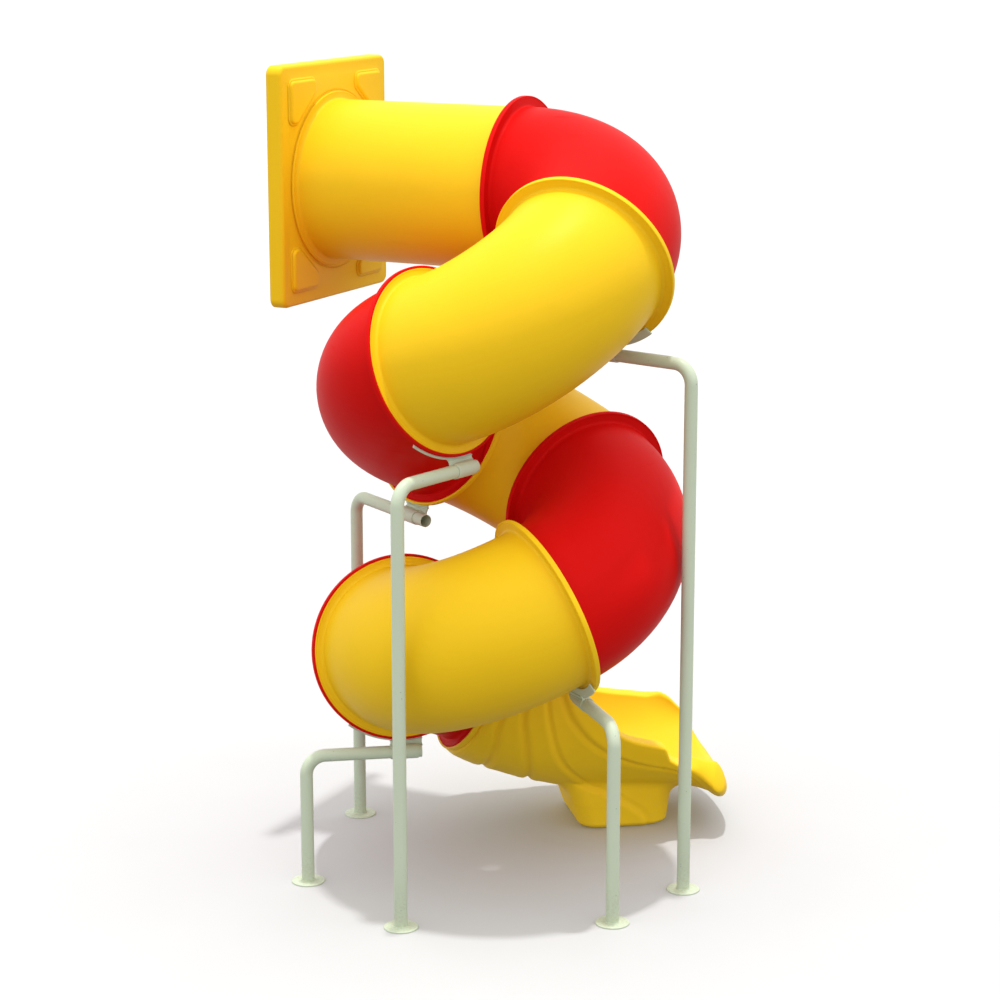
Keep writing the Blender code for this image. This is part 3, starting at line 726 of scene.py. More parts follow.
def rounded_polygon(corners, inset, radius, steps=6):
    """A convex outline moved inwards by the inset, its corners turned into arcs."""
    count = len(corners)
    spots = [Vector(corner) for corner in corners]
    pairs = zip(spots, spots[1:] + spots[:1])
    turn = sum(spot.x * following.y - following.x * spot.y for spot, following in pairs)
    if turn < 0:
        spots.reverse()
    outline = []
    for index, spot in enumerate(spots):
        before = (spot - spots[index - 1]).normalized()
        after = (spots[(index + 1) % count] - spot).normalized()
        inward_before = Vector((-before.y, before.x))
        inward_after = Vector((-after.y, after.x))
        half = (inward_before + inward_after).normalized()
        reach = (inset + radius) / half.dot(inward_before)
        centre = spot + half * reach
        begin = atan2(-inward_before.y, -inward_before.x)
        swing = before.angle_signed(after) * -1
        for step in range(steps + 1):
            angle = begin + swing * step / steps
            outline.append((centre.x + radius * cos(angle), centre.y + radius * sin(angle)))
    return outline


def add_loop(bm, outline, x):
    return [bm.verts.new((x, y, z)) for y, z in outline]


def bridge(bm, first, second, closed=True):
    """Faces between two equal rows of vertices."""
    count = len(first)
    for step in range(count if closed else count - 1):
        after = (step + 1) % count
        bm.faces.new((first[step], first[after], second[after], second[step]))


def bridge_rows(bm, rows, closed=True):
    for lower, upper in zip(rows, rows[1:]):
        bridge(bm, lower, upper, closed)


def keep_shell(bm, name):
    """Turn a shell's faces outwards and keep it as a mesh."""
    bmesh.ops.recalc_face_normals(bm, faces=bm.faces)
    mesh = bpy.data.meshes.new(name)
    bm.to_mesh(mesh)
    bm.free()
    return mesh


def finished(mesh, finish):
    """A smooth piece of one material."""
    mesh.shade_smooth()
    mesh.materials.append(finish)
    return link(mesh.name, mesh)


def loop_edges(bm, loop):
    edges = []
    for step, vertex in enumerate(loop):
        after = loop[(step + 1) % len(loop)]
        edges.append(bm.edges.get((vertex, after)) or bm.edges.new((vertex, after)))
    return edges


def panel_edge(bm, corners, face_x, sizes):
    """Rows of the plate's rounded edge, from the platform's side to the tube's."""
    back_x = face_x - PANEL_THICKNESS
    front, rear = sizes.front_edge, sizes.back_edge
    shape = [(back_x, rear + 0.006)]
    shape += arc(back_x + rear, rear, rear, 180, 270, 5)
    shape += [(back_x + PANEL_THICKNESS / 2, 0.0)]
    shape += arc(face_x - front, front, front, 270, 360, 9)
    shape += [(face_x, front + 0.006)]
    rows = []
    for x, inset in shape:
        outline = rounded_polygon(corners, inset, max(PANEL_CORNER - inset, 0.014), 10)
        rows.append(add_loop(bm, outline, x))
    bridge_rows(bm, rows)
    return rows


def panel_pad(bm, pad, face_x, sizes):
    """One soft raised pad; gives back the loop where it meets the plate."""
    edge = sizes.pad_edge
    slope = [(face_x, -0.010)]
    slope += [(x, -inset) for x, inset in arc(face_x + 0.005, 0.007, 0.005, 180, 90, 4)][1:-1]
    slope += [(face_x + 0.006, -0.0015)]
    slope += arc(face_x + PAD_HEIGHT - edge, edge, edge, 270, 360, 6)
    slope += [(face_x + PAD_HEIGHT, edge + 0.004)]
    loops = []
    for x, inset in slope:
        loops.append(add_loop(bm, rounded_polygon(pad, inset, max(0.030 - inset, 0.008)), x))
    bridge_rows(bm, loops)
    bm.faces.new(loops[-1])
    return loops[0]


def panel_bore(bm, y, z, face_x, sizes):
    """Circles of the groove round the collar, the bore and its rounded mouth."""
    back_x = face_x - PANEL_THICKNESS
    groove, mouth = sizes.collar_groove, sizes.mouth_edge
    collar = PANEL_COLLAR_RADIUS
    ring = [
        (face_x, collar + 0.014), (face_x, collar + 0.011), (face_x - groove * 0.5, collar + 0.0085),
        (face_x - groove, collar + 0.006), (face_x - groove, collar + 0.003),
        (face_x - groove * 0.6, collar - 0.002), (face_x, collar - 0.008), (face_x, BORE_RADIUS + 0.004),
        (face_x - 0.001, BORE_RADIUS), (back_x + mouth + 0.004, BORE_RADIUS),
    ]
    ring += arc(back_x + mouth, BORE_RADIUS + mouth, mouth, 270, 180, 6)
    ring += [(back_x, BORE_RADIUS + mouth + 0.006)]
    circles = [add_loop(bm, circle(y, z, radius, BORE_SIDES), x) for x, radius in ring]
    bridge_rows(bm, circles)
    return circles


def make_entry_panel(sizes):
    """One shell: the rounded plate, four soft pads, the groove round the collar, the bore."""
    face_x = ANCHOR.x - ENTRY_LENGTH
    y, z = ANCHOR.y, ENTRY_HEIGHT
    half_y, half_z = PANEL_WIDTH / 2, PANEL_HEIGHT / 2
    corners = [(y + side * half_y, z - half_z) for side in (-1, 1)]
    corners += [(y + side * half_y, z + half_z) for side in (1, -1)]
    bm = bmesh.new()
    rows = panel_edge(bm, corners, face_x, sizes)
    outer_y, outer_z = half_y - PAD_MARGIN, half_z - PAD_MARGIN
    pad = (
        (outer_y, outer_z), (outer_y - PAD_LENGTH, outer_z), (outer_y - PAD_LENGTH, outer_z - PAD_CUT),
        (outer_y - PAD_CUT, outer_z - PAD_DROP), (outer_y, outer_z - PAD_DROP),
    )
    holes = []
    for sign_y in (-1, 1):
        for sign_z in (-1, 1):
            placed = [(y + sign_y * dy, z + sign_z * dz) for dy, dz in pad]
            holes.append(panel_pad(bm, placed, face_x, sizes))
    circles = panel_bore(bm, y, z, face_x, sizes)
    for borders in ((rows[-1], circles[0], *holes), (rows[0], circles[-1])):
        edges = [edge for border in borders for edge in loop_edges(bm, border)]
        bmesh.ops.triangle_fill(bm, use_beauty=True, use_dissolve=False, edges=edges)
    piece = finished(keep_shell(bm, "entry_panel_moulding"), yellow_plastic())
    settle(piece, "yellow_plastic", "entry_panel")


class Chute:
    """The exit chute's path: straight from the last joint, then sagging to level and turning right."""

    def __init__(self, start, along):
        self.start = start
        self.heading = Vector((along.x, along.y, 0)).normalized()
        self.slope = atan2(-along.z, hypot(along.x, along.y))

    def tilt(self, run):
        turned = max(run - CHUTE_STRAIGHT, 0) / CHUTE_SAG_RADIUS
        return asin(max(sin(self.slope) - turned, 0))

    def height(self, run):
        """Height of the axis; past the start of the lip it drops away again."""
        straight = min(run, CHUTE_STRAIGHT)
        sag = CHUTE_SAG_RADIUS * (cos(self.tilt(run)) - cos(self.slope))
        droop = max(run - LIP_START, 0) ** 2 / (2 * LIP_RADIUS)
        return self.start.z - straight * tan(self.slope) - sag - droop

    def plan(self, run):
        """Level place and heading of the axis at a run."""
        past = run - CHUTE_STRAIGHT
        turned = min(max(past, 0), CHUTE_TURN_LENGTH) / CHUTE_TURN_RADIUS
        heading = Matrix.Rotation(-turned, 3, "Z") @ self.heading
        right = self.heading.cross(UP)
        bow = (self.heading * sin(turned) + right * (1 - cos(turned))) * CHUTE_TURN_RADIUS
        straight = self.heading * min(run, CHUTE_STRAIGHT) + heading * max(past - CHUTE_TURN_LENGTH, 0)
        return self.start + straight + bow, heading

    def point(self, run, side, height):
        """A point at a run, offset to the right of the path, at a height over the ground."""
        origin, heading = self.plan(run)
        spot = origin + heading.cross(UP) * side
        return np.array((spot.x, spot.y, height))

    def ring(self, run, radii, angles):
        """Points of a cross-section at angles from the underside, positive to the right."""
        origin, heading = self.plan(run)
        origin.z = self.height(run)
        tilt = self.tilt(run)
        along = heading * cos(tilt) - UP * sin(tilt)
        lift = (UP - along * along.z).normalized()
        right = along.cross(lift)
        share = min(max((run - FLATTEN_START) / (FLATTEN_END - FLATTEN_START), 0), 1)
        flat = 1 - (1 - FLATTEN_LEAST) * share ** 2
        up = radii * (flat * -np.cos(angles) + flat - 1)
        over = radii * np.sin(angles)
        points = np.outer(up, np.array(lift)) + np.outer(over, np.array(right)) + np.array(origin)
        return points, run + up * sin(tilt)

    def belly(self, run, side):
        """Height of the outside over a place on the ground, at a level run and side."""
        cut = run
        for _ in range(4):
            radius = outside_radius(cut)
            angle = asin(min(max(side / radius, -1), 1))
            points, level_runs = self.ring(cut, np.array([radius]), np.array([angle]))
            cut += run - level_runs[0]
        return points[0, 2]


def lip_shift(chute, spot):
    """The lip's end bows forward in the middle and falls back towards its corners."""
    origin, heading = chute.plan(LIP_START)
    away = spot - origin
    side = abs(away.dot(heading.cross(UP)))
    bow = LIP_BOW - LIP_CORNER * (side / LIP_HALF_WIDTH) ** BOW_POWER
    return heading * (bow * float(eased(away.dot(heading) / LIP_LENGTH)))


def outside_radius(run):
    return float(read_line(CHUTE_OUTSIDE, run))


def bed_radius(run):
    """The bed stays level where the underside of the lip drops away."""
    return BORE_RADIUS - BED_HOLD * max(run - LIP_START, 0) ** 2 / (2 * LIP_RADIUS)


def read_line(rows, run, column=1):
    return np.interp(run, [row[0] for row in rows], [row[column] for row in rows])


def rim_height(run, column):
    """Height of a wall's end, its corners eased over a few centimetres."""
    spread = (-0.006, -0.002, 0.002, 0.006)
    return sum(read_line(RIM_LINE, run + shift, column) for shift in spread) / len(spread)


def rim_angle(chute, run, radius, column, roll):
    """How far round from the underside a wall goes at a run before its rounded end."""
    angles = np.linspace(radians(8), pi, 345)
    sign = 1 if column == 1 else -1
    points, level_runs = chute.ring(run, np.full(angles.shape, radius), angles * sign)
    spare = rim_height(level_runs, column) - roll * np.sin(angles) - points[:, 2]
    below = np.nonzero(spare < 0)[0]
    solved = pi
    if len(below) and below[0]:
        first = below[0]
        share = spare[first - 1] / (spare[first - 1] - spare[first])
        solved = angles[first - 1] + (angles[first] - angles[first - 1]) * share
    elif len(below):
        solved = angles[0]
    opened = min(max((run - HOOD_END) / HOOD_FADE, 0), 1)
    return pi - (pi - solved) * sqrt(opened)


def path_distance(runs, arcs, knots):
    """Distance in metres from surface places, as run and arc length, to a smooth line through knots."""
    knots = np.array(knots, float)
    cuts = np.linspace(0, len(knots) - 1, 8 * (len(knots) - 1) + 1)
    ends = np.vstack((2 * knots[0] - knots[1], knots, 2 * knots[-1] - knots[-2]))
    base = np.minimum(cuts.astype(int), len(knots) - 2)
    part = (cuts - base)[:, None]
    p0, p1, p2, p3 = (ends[base + shift] for shift in range(4))
    line = 0.5 * (2 * p1 + (p2 - p0) * part + (2 * p0 - 5 * p1 + 4 * p2 - p3) * part ** 2
                  + (3 * p1 - p0 - 3 * p2 + p3) * part ** 3)
    nearest = np.full(runs.shape, 9.0)
    for first, second in zip(line, line[1:]):
        reach = second - first
        share = ((runs - first[0]) * reach[0] + (arcs - first[1]) * reach[1]) / (reach @ reach)
        share = np.clip(share, 0, 1)
        gap = np.hypot(runs - first[0] - share * reach[0], arcs - first[1] - share * reach[1])
        nearest = np.minimum(nearest, gap)
    return nearest


def eased(value):
    """0 below 0, 1 over 1, smooth between."""
    value = np.clip(value, 0, 1)
    return value * value * (3 - 2 * value)


def squared(run):
    """How far the walls' ends have been squared towards the lip."""
    return float(eased((run - SQUARE_START) / SQUARE_LENGTH))


def groove_shape(gap, depth, width):
    """A moulded groove: a narrow valley between softly raised shoulders."""
    valley = np.exp(-(gap / width) ** 2)
    shoulder = np.exp(-((gap - 2.4 * width) / (1.5 * width)) ** 2)
    return depth * (0.16 * shoulder - valley)


def chute_relief(runs, angles, sizes):
    """How far the outside stands off its plain radius: grooves, and the swollen rim over the wall."""
    arc_scale = 0.46
    arcs = np.abs(angles) * arc_scale
    relief = np.zeros(runs.shape)
    for knots in (*RING_GROOVES, SWEPT_GROOVE, RIM_GROOVE):
        line = [(run, radians(angle) * arc_scale) for run, angle in knots]
        relief += groove_shape(path_distance(runs, arcs, line), sizes.groove_depth, sizes.groove_width)
    under_rim = (np.radians(read_line(RIM_GROOVE, runs)) - np.abs(angles)) * arc_scale
    swept = sorted((radians(angle), run) for run, angle in SWEPT_GROOVE)
    past_sweep = runs - read_line(swept, np.abs(angles))
    return relief - sizes.side_recess * eased(under_rim / 0.030) * eased(past_sweep / 0.040)


def chute_rows(sizes):
    """Runs of the cross-sections, closer together at the collar, the hood's edge and the step."""
    runs = [0.0150, 0.0180, 0.0220, 0.0280, 0.0360, 0.0450, 0.0455, 0.0465, 0.0480, 0.0505, 0.0535]
    while runs[-1] < 1.150 - 0.6 * sizes.row_length:
        close = 0.6 if 0.86 < runs[-1] < 0.95 else 1.0
        runs.append(runs[-1] + sizes.row_length * close)
    runs[-1] = 1.150
    return runs


class ChuteShell:
    """The double-skinned trough with its collar, rolled rims and rounded nose, as one closed mesh."""

    def __init__(self, chute, sizes):
        self.chute = chute
        self.sizes = sizes
        self.runs = chute_rows(sizes)
        self.bm = bmesh.new()
        self.slide = self.bm.verts.layers.float.new("slide")
        # Flag for rubbing roughness and painted highlight on the rolled rims.
        self.wear_and_highlight = self.bm.verts.layers.float.new("wear_and_highlight")
        self.outer, self.outer_angles = self.skin(outside_radius, True)
        self.inner, self.inner_angles = self.skin(bed_radius, False)
        bridge_rows(self.bm, self.outer, closed=False)
        for lower, upper in zip(self.inner, self.inner[1:]):
            bridge(self.bm, upper, lower, closed=False)
        for vertices, angles in zip(self.inner, self.inner_angles):
            for vertex, angle in zip(vertices, angles):
                vertex[self.slide] = max(cos(angle), 0) ** 0.5

    def row(self, run, radii, angles):
        points, _ = self.chute.ring(run, radii, angles)
        return [self.bm.verts.new(point) for point in points]

    def spread(self, run, radius):
        """Angles of a row; towards the lip the inside ends where the outside does."""
        radius = radius * (1 - squared(run)) + outside_radius(run) * squared(run)
        right = rim_angle(self.chute, run, radius, 1, self.sizes.rim_roll)
        left = rim_angle(self.chute, run, radius, 2, self.sizes.rim_roll)
        share = np.linspace(-1, 1, self.sizes.columns + 1)
        return np.where(share < 0, share * left, share * right)

    def stand(self, run, angles):
        return chute_relief(np.full(angles.shape, run), angles, self.sizes)

    def skin(self, radius_at, grooved):
        rows = []
        spreads = []
        for run in self.runs:
            angles = self.spread(run, radius_at(run))
            stand = self.stand(run, angles) if grooved else 0.0
            rows.append(self.row(run, radius_at(run) + stand, angles))
            spreads.append(angles)
        return rows, spreads

    def add_collar(self):
        """The wide flange at the last joint, with its lip reaching back over the narrower one."""
        full = np.linspace(-pi, pi, self.sizes.columns + 1)
        seat = FLANGE_RADIUS + 2 * GAP
        section = [(JOINT_GAP, BORE_RADIUS), (JOINT_GAP, seat), (0.002 - SOCKET_LIP, seat)]
        section += [(-SOCKET_LIP, seat + 0.002)]
        section += arc(0.0035 - SOCKET_LIP, CHUTE_COLLAR_RADIUS - 0.0035, 0.0035, 180, 90)
        section += arc(FLANGE_THICKNESS - 0.003, CHUTE_COLLAR_RADIUS - 0.003, 0.003, 90, 0)
        section += [(0.0130, 0.4320), (0.0140, 0.4330)]
        loops = [self.row(run, np.full(full.shape, radius), full) for run, radius in section]
        bridge_rows(self.bm, [*loops, self.outer[0]], closed=False)
        bridge(self.bm, self.inner[0], loops[0], closed=False)

    def add_nose(self):
        """The rounded end of the bed, from the outside round to the inside."""
        last = self.runs[-1]
        out_radius, in_radius = outside_radius(last), bed_radius(last)
        middle, half = (out_radius + in_radius) / 2, (out_radius - in_radius) / 2
        self.nose = []
        for step in range(1, ROLL_STEPS):
            angle = pi * step / ROLL_STEPS
            blend = (1 - cos(angle)) / 2
            angles = self.outer_angles[-1] * (1 - blend) + self.inner_angles[-1] * blend
            run = last + self.sizes.nose_length * sin(angle)
            stand = self.stand(last, angles) * (1 - blend)
            self.nose.append(self.row(run, middle + half * cos(angle) + stand, angles))
        bridge_rows(self.bm, [self.outer[-1], *self.nose, self.inner[-1]], closed=False)

    def worn_and_highlit_point(self, spot):
        # Flags a rim point for rubbing roughness and a painted highlight.
        vertex = self.bm.verts.new(spot)
        vertex[self.wear_and_highlight] = 1.0
        return vertex

    def add_rim(self, column, side):
        """The rolled top of one wall, rounded off where it meets the nose."""
        outer, inner, runs = self.outer, self.inner, self.runs
        opened = next(index for index, run in enumerate(runs) if run > HOOD_END)
        rolls = []
        for index in range(opened - 1, len(runs)):
            cap = RIM_BLUNT - RIM_ROUNDER * squared(runs[index])
            height = self.sizes.rim_roll + RIM_TALLER * squared(runs[index])
            first = outer[index][column].co
            second = inner[index][column].co
            if index == opened - 1:
                slope = self.chute.slope
                roll = (self.chute.heading * cos(slope) - UP * sin(slope)) * height
            else:
                ahead = outer[min(index + 1, len(runs) - 1)][column].co
                path = (ahead - outer[index - 1][column].co).normalized()
                wall = (first - second).normalized()
                roll = path.cross(wall).normalized() * (-side * height)
            points = []
            for step in range(1, ROLL_STEPS):
                across = (1 - cos(pi * step / ROLL_STEPS)) / 2
                lift = roll * (1 - abs(2 * across - 1) ** cap) ** (1 / cap)
                points.append(self.worn_and_highlit_point(first.lerp(second, across) + lift))
            rolls.append([outer[index][column], *points, inner[index][column]])
        bridge_rows(self.bm, rolls, closed=False)
        self.add_corner(rolls[-1], [ring[column] for ring in self.nose])

    def add_corner(self, rim, nose):
        """A quarter of an ellipsoid between the last roll of a rim and the nose."""
        front = [rim[0], *nose, rim[-1]]
        corner = [rim]
        for turn in range(1, CORNER_STEPS):
            swing = pi / 2 * turn / CORNER_STEPS
            blend = [rim[0]]
            for step in range(1, ROLL_STEPS):
                base = rim[0].co.lerp(rim[-1].co, (1 - cos(pi * step / ROLL_STEPS)) / 2)
                up = (rim[step].co - base) * cos(swing)
                ahead = (front[step].co - base) * sin(swing)
                blend.append(self.worn_and_highlit_point(base + up + ahead))
            corner.append(blend + [rim[-1]])
        for lower, upper in zip(corner, corner[1:] + [front]):
            for step in range(ROLL_STEPS):
                cell = (lower[step], lower[step + 1], upper[step + 1], upper[step])
                self.bm.faces.new(tuple(dict.fromkeys(cell)))

    def mesh(self):
        self.add_collar()
        self.add_nose()
        self.add_rim(0, -1)
        self.add_rim(self.sizes.columns, 1)
        for vertex in self.bm.verts:
            vertex.co += lip_shift(self.chute, vertex.co)
        bmesh.ops.remove_doubles(self.bm, verts=self.bm.verts, dist=MERGE_DISTANCE)
        return keep_shell(self.bm, "exit_chute_moulding")


def leg_outline(front, back, half):
    """Rounded rectangle of run and side, with the same number of points at every height."""
    corners = []
    for run, side, start in ((back, half, 0), (front, half, 90), (front, -half, 180), (back, -half, 270)):
        centre_run = run + (LEG_CORNER if run == front else -LEG_CORNER)
        centre_side = side - LEG_CORNER if side > 0 else side + LEG_CORNER
        corners.append(arc(centre_run, centre_side, LEG_CORNER, start, start + 90, 12))
    points = []
    for corner, following in zip(corners, corners[1:] + corners[:1]):
        points += corner
        for step in range(1, 28):
            points.append(tuple(np.array(corner[-1]) + (np.array(following[0]) - corner[-1]) * step / 28))
    return np.array(points)


def grooved_outline(height, inset, sizes):
    """The foot's outline at a height, its near and far faces grooved, with its outward directions."""
    front, back, half = (float(read_line(LEG_LEVELS, height, column)) for column in (1, 2, 3))
    plain = leg_outline(front + inset, back - inset, half - inset)
    ahead = np.roll(plain, -1, axis=0) - np.roll(plain, 1, axis=0)
    outward = np.stack((ahead[:, 1], -ahead[:, 0]), axis=1) / np.hypot(*ahead.T)[:, None]
    gap = path_distance(plain[:, 0], np.full(len(plain), height), LEG_GROOVE)
    sweep = sorted((level, run) for run, level in LEG_GROOVE)
    stand = groove_shape(gap, sizes.groove_depth * 0.8, sizes.groove_width)
    stand = stand - sizes.side_recess * eased((plain[:, 0] - read_line(sweep, height)) / 0.030)
    flank = eased((np.abs(plain[:, 1]) - half + LEG_CORNER) / LEG_CORNER)
    return plain + outward * (stand * flank)[:, None], outward


def chute_leg(chute, sizes, shell):
    """The moulded foot: upright sides that bend outwards to run into the trough's skin."""
    corners = [vertex.co for vertex in shell.vertices]
    skin = BVHTree.FromPolygons(corners, [tuple(face.vertices) for face in shell.polygons])
    fillet = sizes.foot_fillet
    edge = LEG_EDGE
    bm = bmesh.new()

    def under(place):
        """Height of the trough's underside over a run and side."""
        hit = skin.ray_cast(Vector(chute.point(place[0], place[1], -1.0)), UP)[0]
        return chute.belly(*place) if hit is None else hit.z

    def add_row(row):
        return [bm.verts.new(chute.point(*spot)) for spot in row]

    levels = np.arange(edge, 0.42, 0.006)
    outlines = [grooved_outline(level, 0.0, sizes) for level in levels]
    places = np.array([places for places, _ in outlines])
    outward = outlines[0][1]

    def at(column, height):
        return np.array([np.interp(height, levels, places[:, column, axis]) for axis in (0, 1)])

    count = len(outward)
    meets = []
    slopes = []
    for column in range(count):
        meet = 0.2
        for _ in range(6):
            meet += 0.8 * (under(at(column, meet)) - meet)
        rise = under(at(column, meet) + outward[column] * 0.035) - meet
        meets.append(meet)
        slopes.append(min(max(rise / 0.035, -0.6), 1.6))
    spread = np.array([0.05, 0.1, 0.2, 0.3, 0.2, 0.1, 0.05])
    slopes = np.convolve(np.concatenate((slopes[-3:], slopes, slopes[:3])), spread, "valid")
    starts = np.array(meets) + slopes * fillet - fillet * np.sqrt(1 + slopes ** 2)
    bends = np.arctan2(1.0, slopes)

    rows = []
    for height, lift in arc(edge, 0.0, edge, 180, 90, 7):
        rows.append(add_row([(*place, height) for place in grooved_outline(height, edge - lift, sizes)[0]]))
    for step in range(1, 25):
        heights = edge + (starts - edge) * step / 24
        rows.append(add_row([(*at(column, heights[column]), heights[column]) for column in range(count)]))
    ends = []
    for column in range(count):
        top = starts[column] + fillet * sin(bends[column])
        place = at(column, top) + outward[column] * fillet * (1 - cos(bends[column]))
        ends.append((place, under(place) - 0.0004 - top))
    for step in range(1, 11):
        row = []
        for column, (_, error) in enumerate(ends):
            angle = bends[column] * step / 10
            height = starts[column] + fillet * sin(angle)
            place = at(column, height) + outward[column] * fillet * (1 - cos(angle))
            row.append((*place, height + error * (step / 10) ** 2))
        rows.append(add_row(row))
    centre = sum(place for place, _ in ends) / count
    for share in (1.0, 0.85, 0.7, 0.55, 0.4, 0.25, 0.1):
        inside = [centre + (place - centre) * share for place, _ in ends]
        rows.append(add_row([(*place, under(place) + 0.014) for place in inside]))
    bridge_rows(bm, rows)
    for border, height in ((rows[0], 0.0), (rows[-1], under(centre) + 0.014)):
        hub = bm.verts.new(chute.point(*centre, height))
        for step, vertex in enumerate(border):
            bm.faces.new((vertex, border[(step + 1) % count], hub))
    return keep_shell(bm, "chute_leg")


def make_exit_chute(sizes):
    last = elbow_chain()[-1]
    chute = Chute(last.finish, last.finish_along)
    shell = ChuteShell(chute, sizes).mesh()
    leg = chute_leg(chute, sizes, shell)
    joined = bmesh.new()
    joined.from_mesh(shell)
    joined.from_mesh(leg)
    joined.to_mesh(shell)
    joined.free()
    bpy.data.meshes.remove(leg)
    settle(finished(shell, yellow_plastic()), "yellow_plastic", "exit_chute")


class Bracket:
    """Frame of a joint's saddle bracket: out to the post's side, down in the flange plane."""

    def __init__(self, joint, along, swing):
        right, self.down = downhill_axes(along)
        self.joint = joint
        self.along = along.normalized()
        self.out = -right
        self.arm_out = Matrix.Rotation(-swing, 3, "Z") @ self.out
        self.arm_centre = joint + self.down * (FLANGE_RADIUS + ARM_DROP)

    def point(self, out, down, along):
        return self.joint + self.out * out + self.down * down + self.along * along


def post_brackets():
    chain = elbow_chain()
    made = []
    for joint, reach, overlap, swing in POSTS:
        upstream = chain[joint - 2]
        made.append((Bracket(upstream.finish, upstream.finish_along, swing), reach, overlap))
    return made


def pipe_section(length, radius, wall, stations):
    """A pipe's wall with rounded ends, as distance, radius and a zero flag for rubbing and painted
    highlight.
    """
    ease = min(wall, 0.003) * 0.45
    outside = arc(ease, radius - ease, ease, 180, 90, 3) + [(spot, radius) for spot in stations]
    outside += arc(length - ease, radius - ease, ease, 90, 0, 3)
    inside = radius - wall
    back = arc(length - ease, inside + ease, ease, 0, -90, 3)
    back += [(spot, inside) for spot in reversed(stations)]
    back += arc(ease, inside + ease, ease, 270, 180, 3)
    return [(s, r, 0.0) for s, r in outside + back]


def make_post(number, bracket, reach, overlap, sizes):
    corner = bracket.arm_centre + bracket.arm_out * reach
    bottom = Vector((corner.x, corner.y, FOOT_THICKNESS + GAP))
    lead = corner.z - bottom.z - POST_BEND
    turn = POST_BEND * pi / 2
    length = lead + turn + reach + overlap - POST_BEND
    stations = [lead * step / 6 for step in range(1, 6)]
    stations += [lead + turn * step / 18 for step in range(19)]
    stations += [lead + turn + (length - lead - turn) * step / 4 for step in range(1, 4)]
    piece = bent_tube(
        f"post_{number}_pipe", pipe_section(length, POST_RADIUS, POST_WALL, stations), bottom, UP,
        -bracket.arm_out, cream_coat(), lead=lead, sweep=pi / 2, bend=POST_BEND, sides=sizes.pipe_sides)
    settle(piece, "cream_powder_coat", f"post_{number}")
    return bottom


def lofted(name, rings):
    """Skin closed rings of points and cap both ends."""
    bm = bmesh.new()
    rows = [[bm.verts.new(point) for point in ring] for ring in rings]
    bridge_rows(bm, rows)
    bm.faces.new(rows[0])
    bm.faces.new(rows[-1])
    return finished(keep_shell(bm, name), cream_coat())


def make_foot_plate(number, bottom, sizes):
    edge = sizes.plate_edge
    shape = [(0.0, FOOT_RADIUS - 0.004), (0.0, FOOT_RADIUS - 0.001), (0.001, FOOT_RADIUS)]
    shape += [(FOOT_THICKNESS - 0.003 - edge / 2, FOOT_RADIUS)]
    shape += [(FOOT_THICKNESS - 0.003, FOOT_RADIUS - edge / 4)]
    shape += [(FOOT_THICKNESS - edge / 3, FOOT_RADIUS - 0.0027)]
    shape += [(FOOT_THICKNESS, FOOT_RADIUS - 0.0038), (FOOT_THICKNESS, FOOT_RADIUS - 0.006)]
    rings = []
    for height, radius in shape:
        rings.append([(x, y, height) for x, y in circle(bottom.x, bottom.y, radius, DISC_SIDES)])
    settle(lofted(f"foot_plate_{number}_disc", rings), "cream_powder_coat", f"foot_plate_{number}")


def rounded_bar(width, thickness, edge):
    """Section of a flat bar, width first, its four edges rounded."""
    half, thick = width / 2, thickness / 2
    corners = ((-half, -thick), (half, -thick), (half, thick), (-half, thick))
    return rounded_polygon(corners, 0.0, edge, 4)


def plate_section(width, edge):
    """A flat bar's section with extra points along both of its faces."""
    bar = rounded_bar(width, SADDLE_THICKNESS, edge)
    points = []
    for spot, following in zip(bar, bar[1:] + bar[:1]):
        points.append(spot)
        if abs(following[0] - spot[0]) > width / 2:
            cuts = [step / 16 for step in range(1, 16)]
            points += [(spot[0] + (following[0] - spot[0]) * cut, spot[1]) for cut in cuts]
    return points


def make_saddle(number, bracket, sizes):
    """The arc plate against the joint's lower face, its edges and ends rounded."""
    width = SADDLE_OUTER - SADDLE_INNER
    middle = (SADDLE_INNER + SADDLE_OUTER) / 2
    ends = [(0.0, 0.0012), (0.001, 0.0004), (0.003, 0.0)]
    stops = ends + [(step / 28, 0.0) for step in range(1, 28)]
    stops += [(1 - share, inset) for share, inset in reversed(ends)]
    rings = []
    for share, inset in stops:
        angle = SADDLE_START + (SADDLE_END - SADDLE_START) * share
        bar = rounded_bar(width - 2 * inset, SADDLE_THICKNESS - 2 * inset, sizes.plate_edge)
        rings.append([
            bracket.point((middle + side) * sin(angle), (middle + side) * cos(angle), PLATE_MIDDLE + lift)
            for side, lift in bar
        ])
    settle(lofted(f"saddle_{number}_arc", rings), "cream_powder_coat", f"saddle_{number}")


def web_width(share):
    """Half width of the web plate, a little narrower half way down."""
    return (WEB_WIDTH - (WEB_WIDTH - WEB_WAIST) * sin(pi * share)) / 2


def web_ends(bracket, out, along):
    """How far down the web starts under the saddle and where it meets the sleeve."""
    radius = POST_RADIUS + GAP + SLEEVE_WALL - 0.0006
    aside = bracket.out * out + bracket.along * along
    lean = bracket.down.dot(bracket.arm_out)
    past = aside.dot(bracket.arm_out)
    square = 1 - lean * lean
    inside = (lean * past) ** 2 - square * (aside.length_squared - past * past - radius * radius)
    rise = (lean * past - sqrt(max(inside, 0.0))) / square
    top = SADDLE_OUTER + GAP
    return sqrt(top * top - out * out), FLANGE_RADIUS + ARM_DROP + min(rise, -0.015)


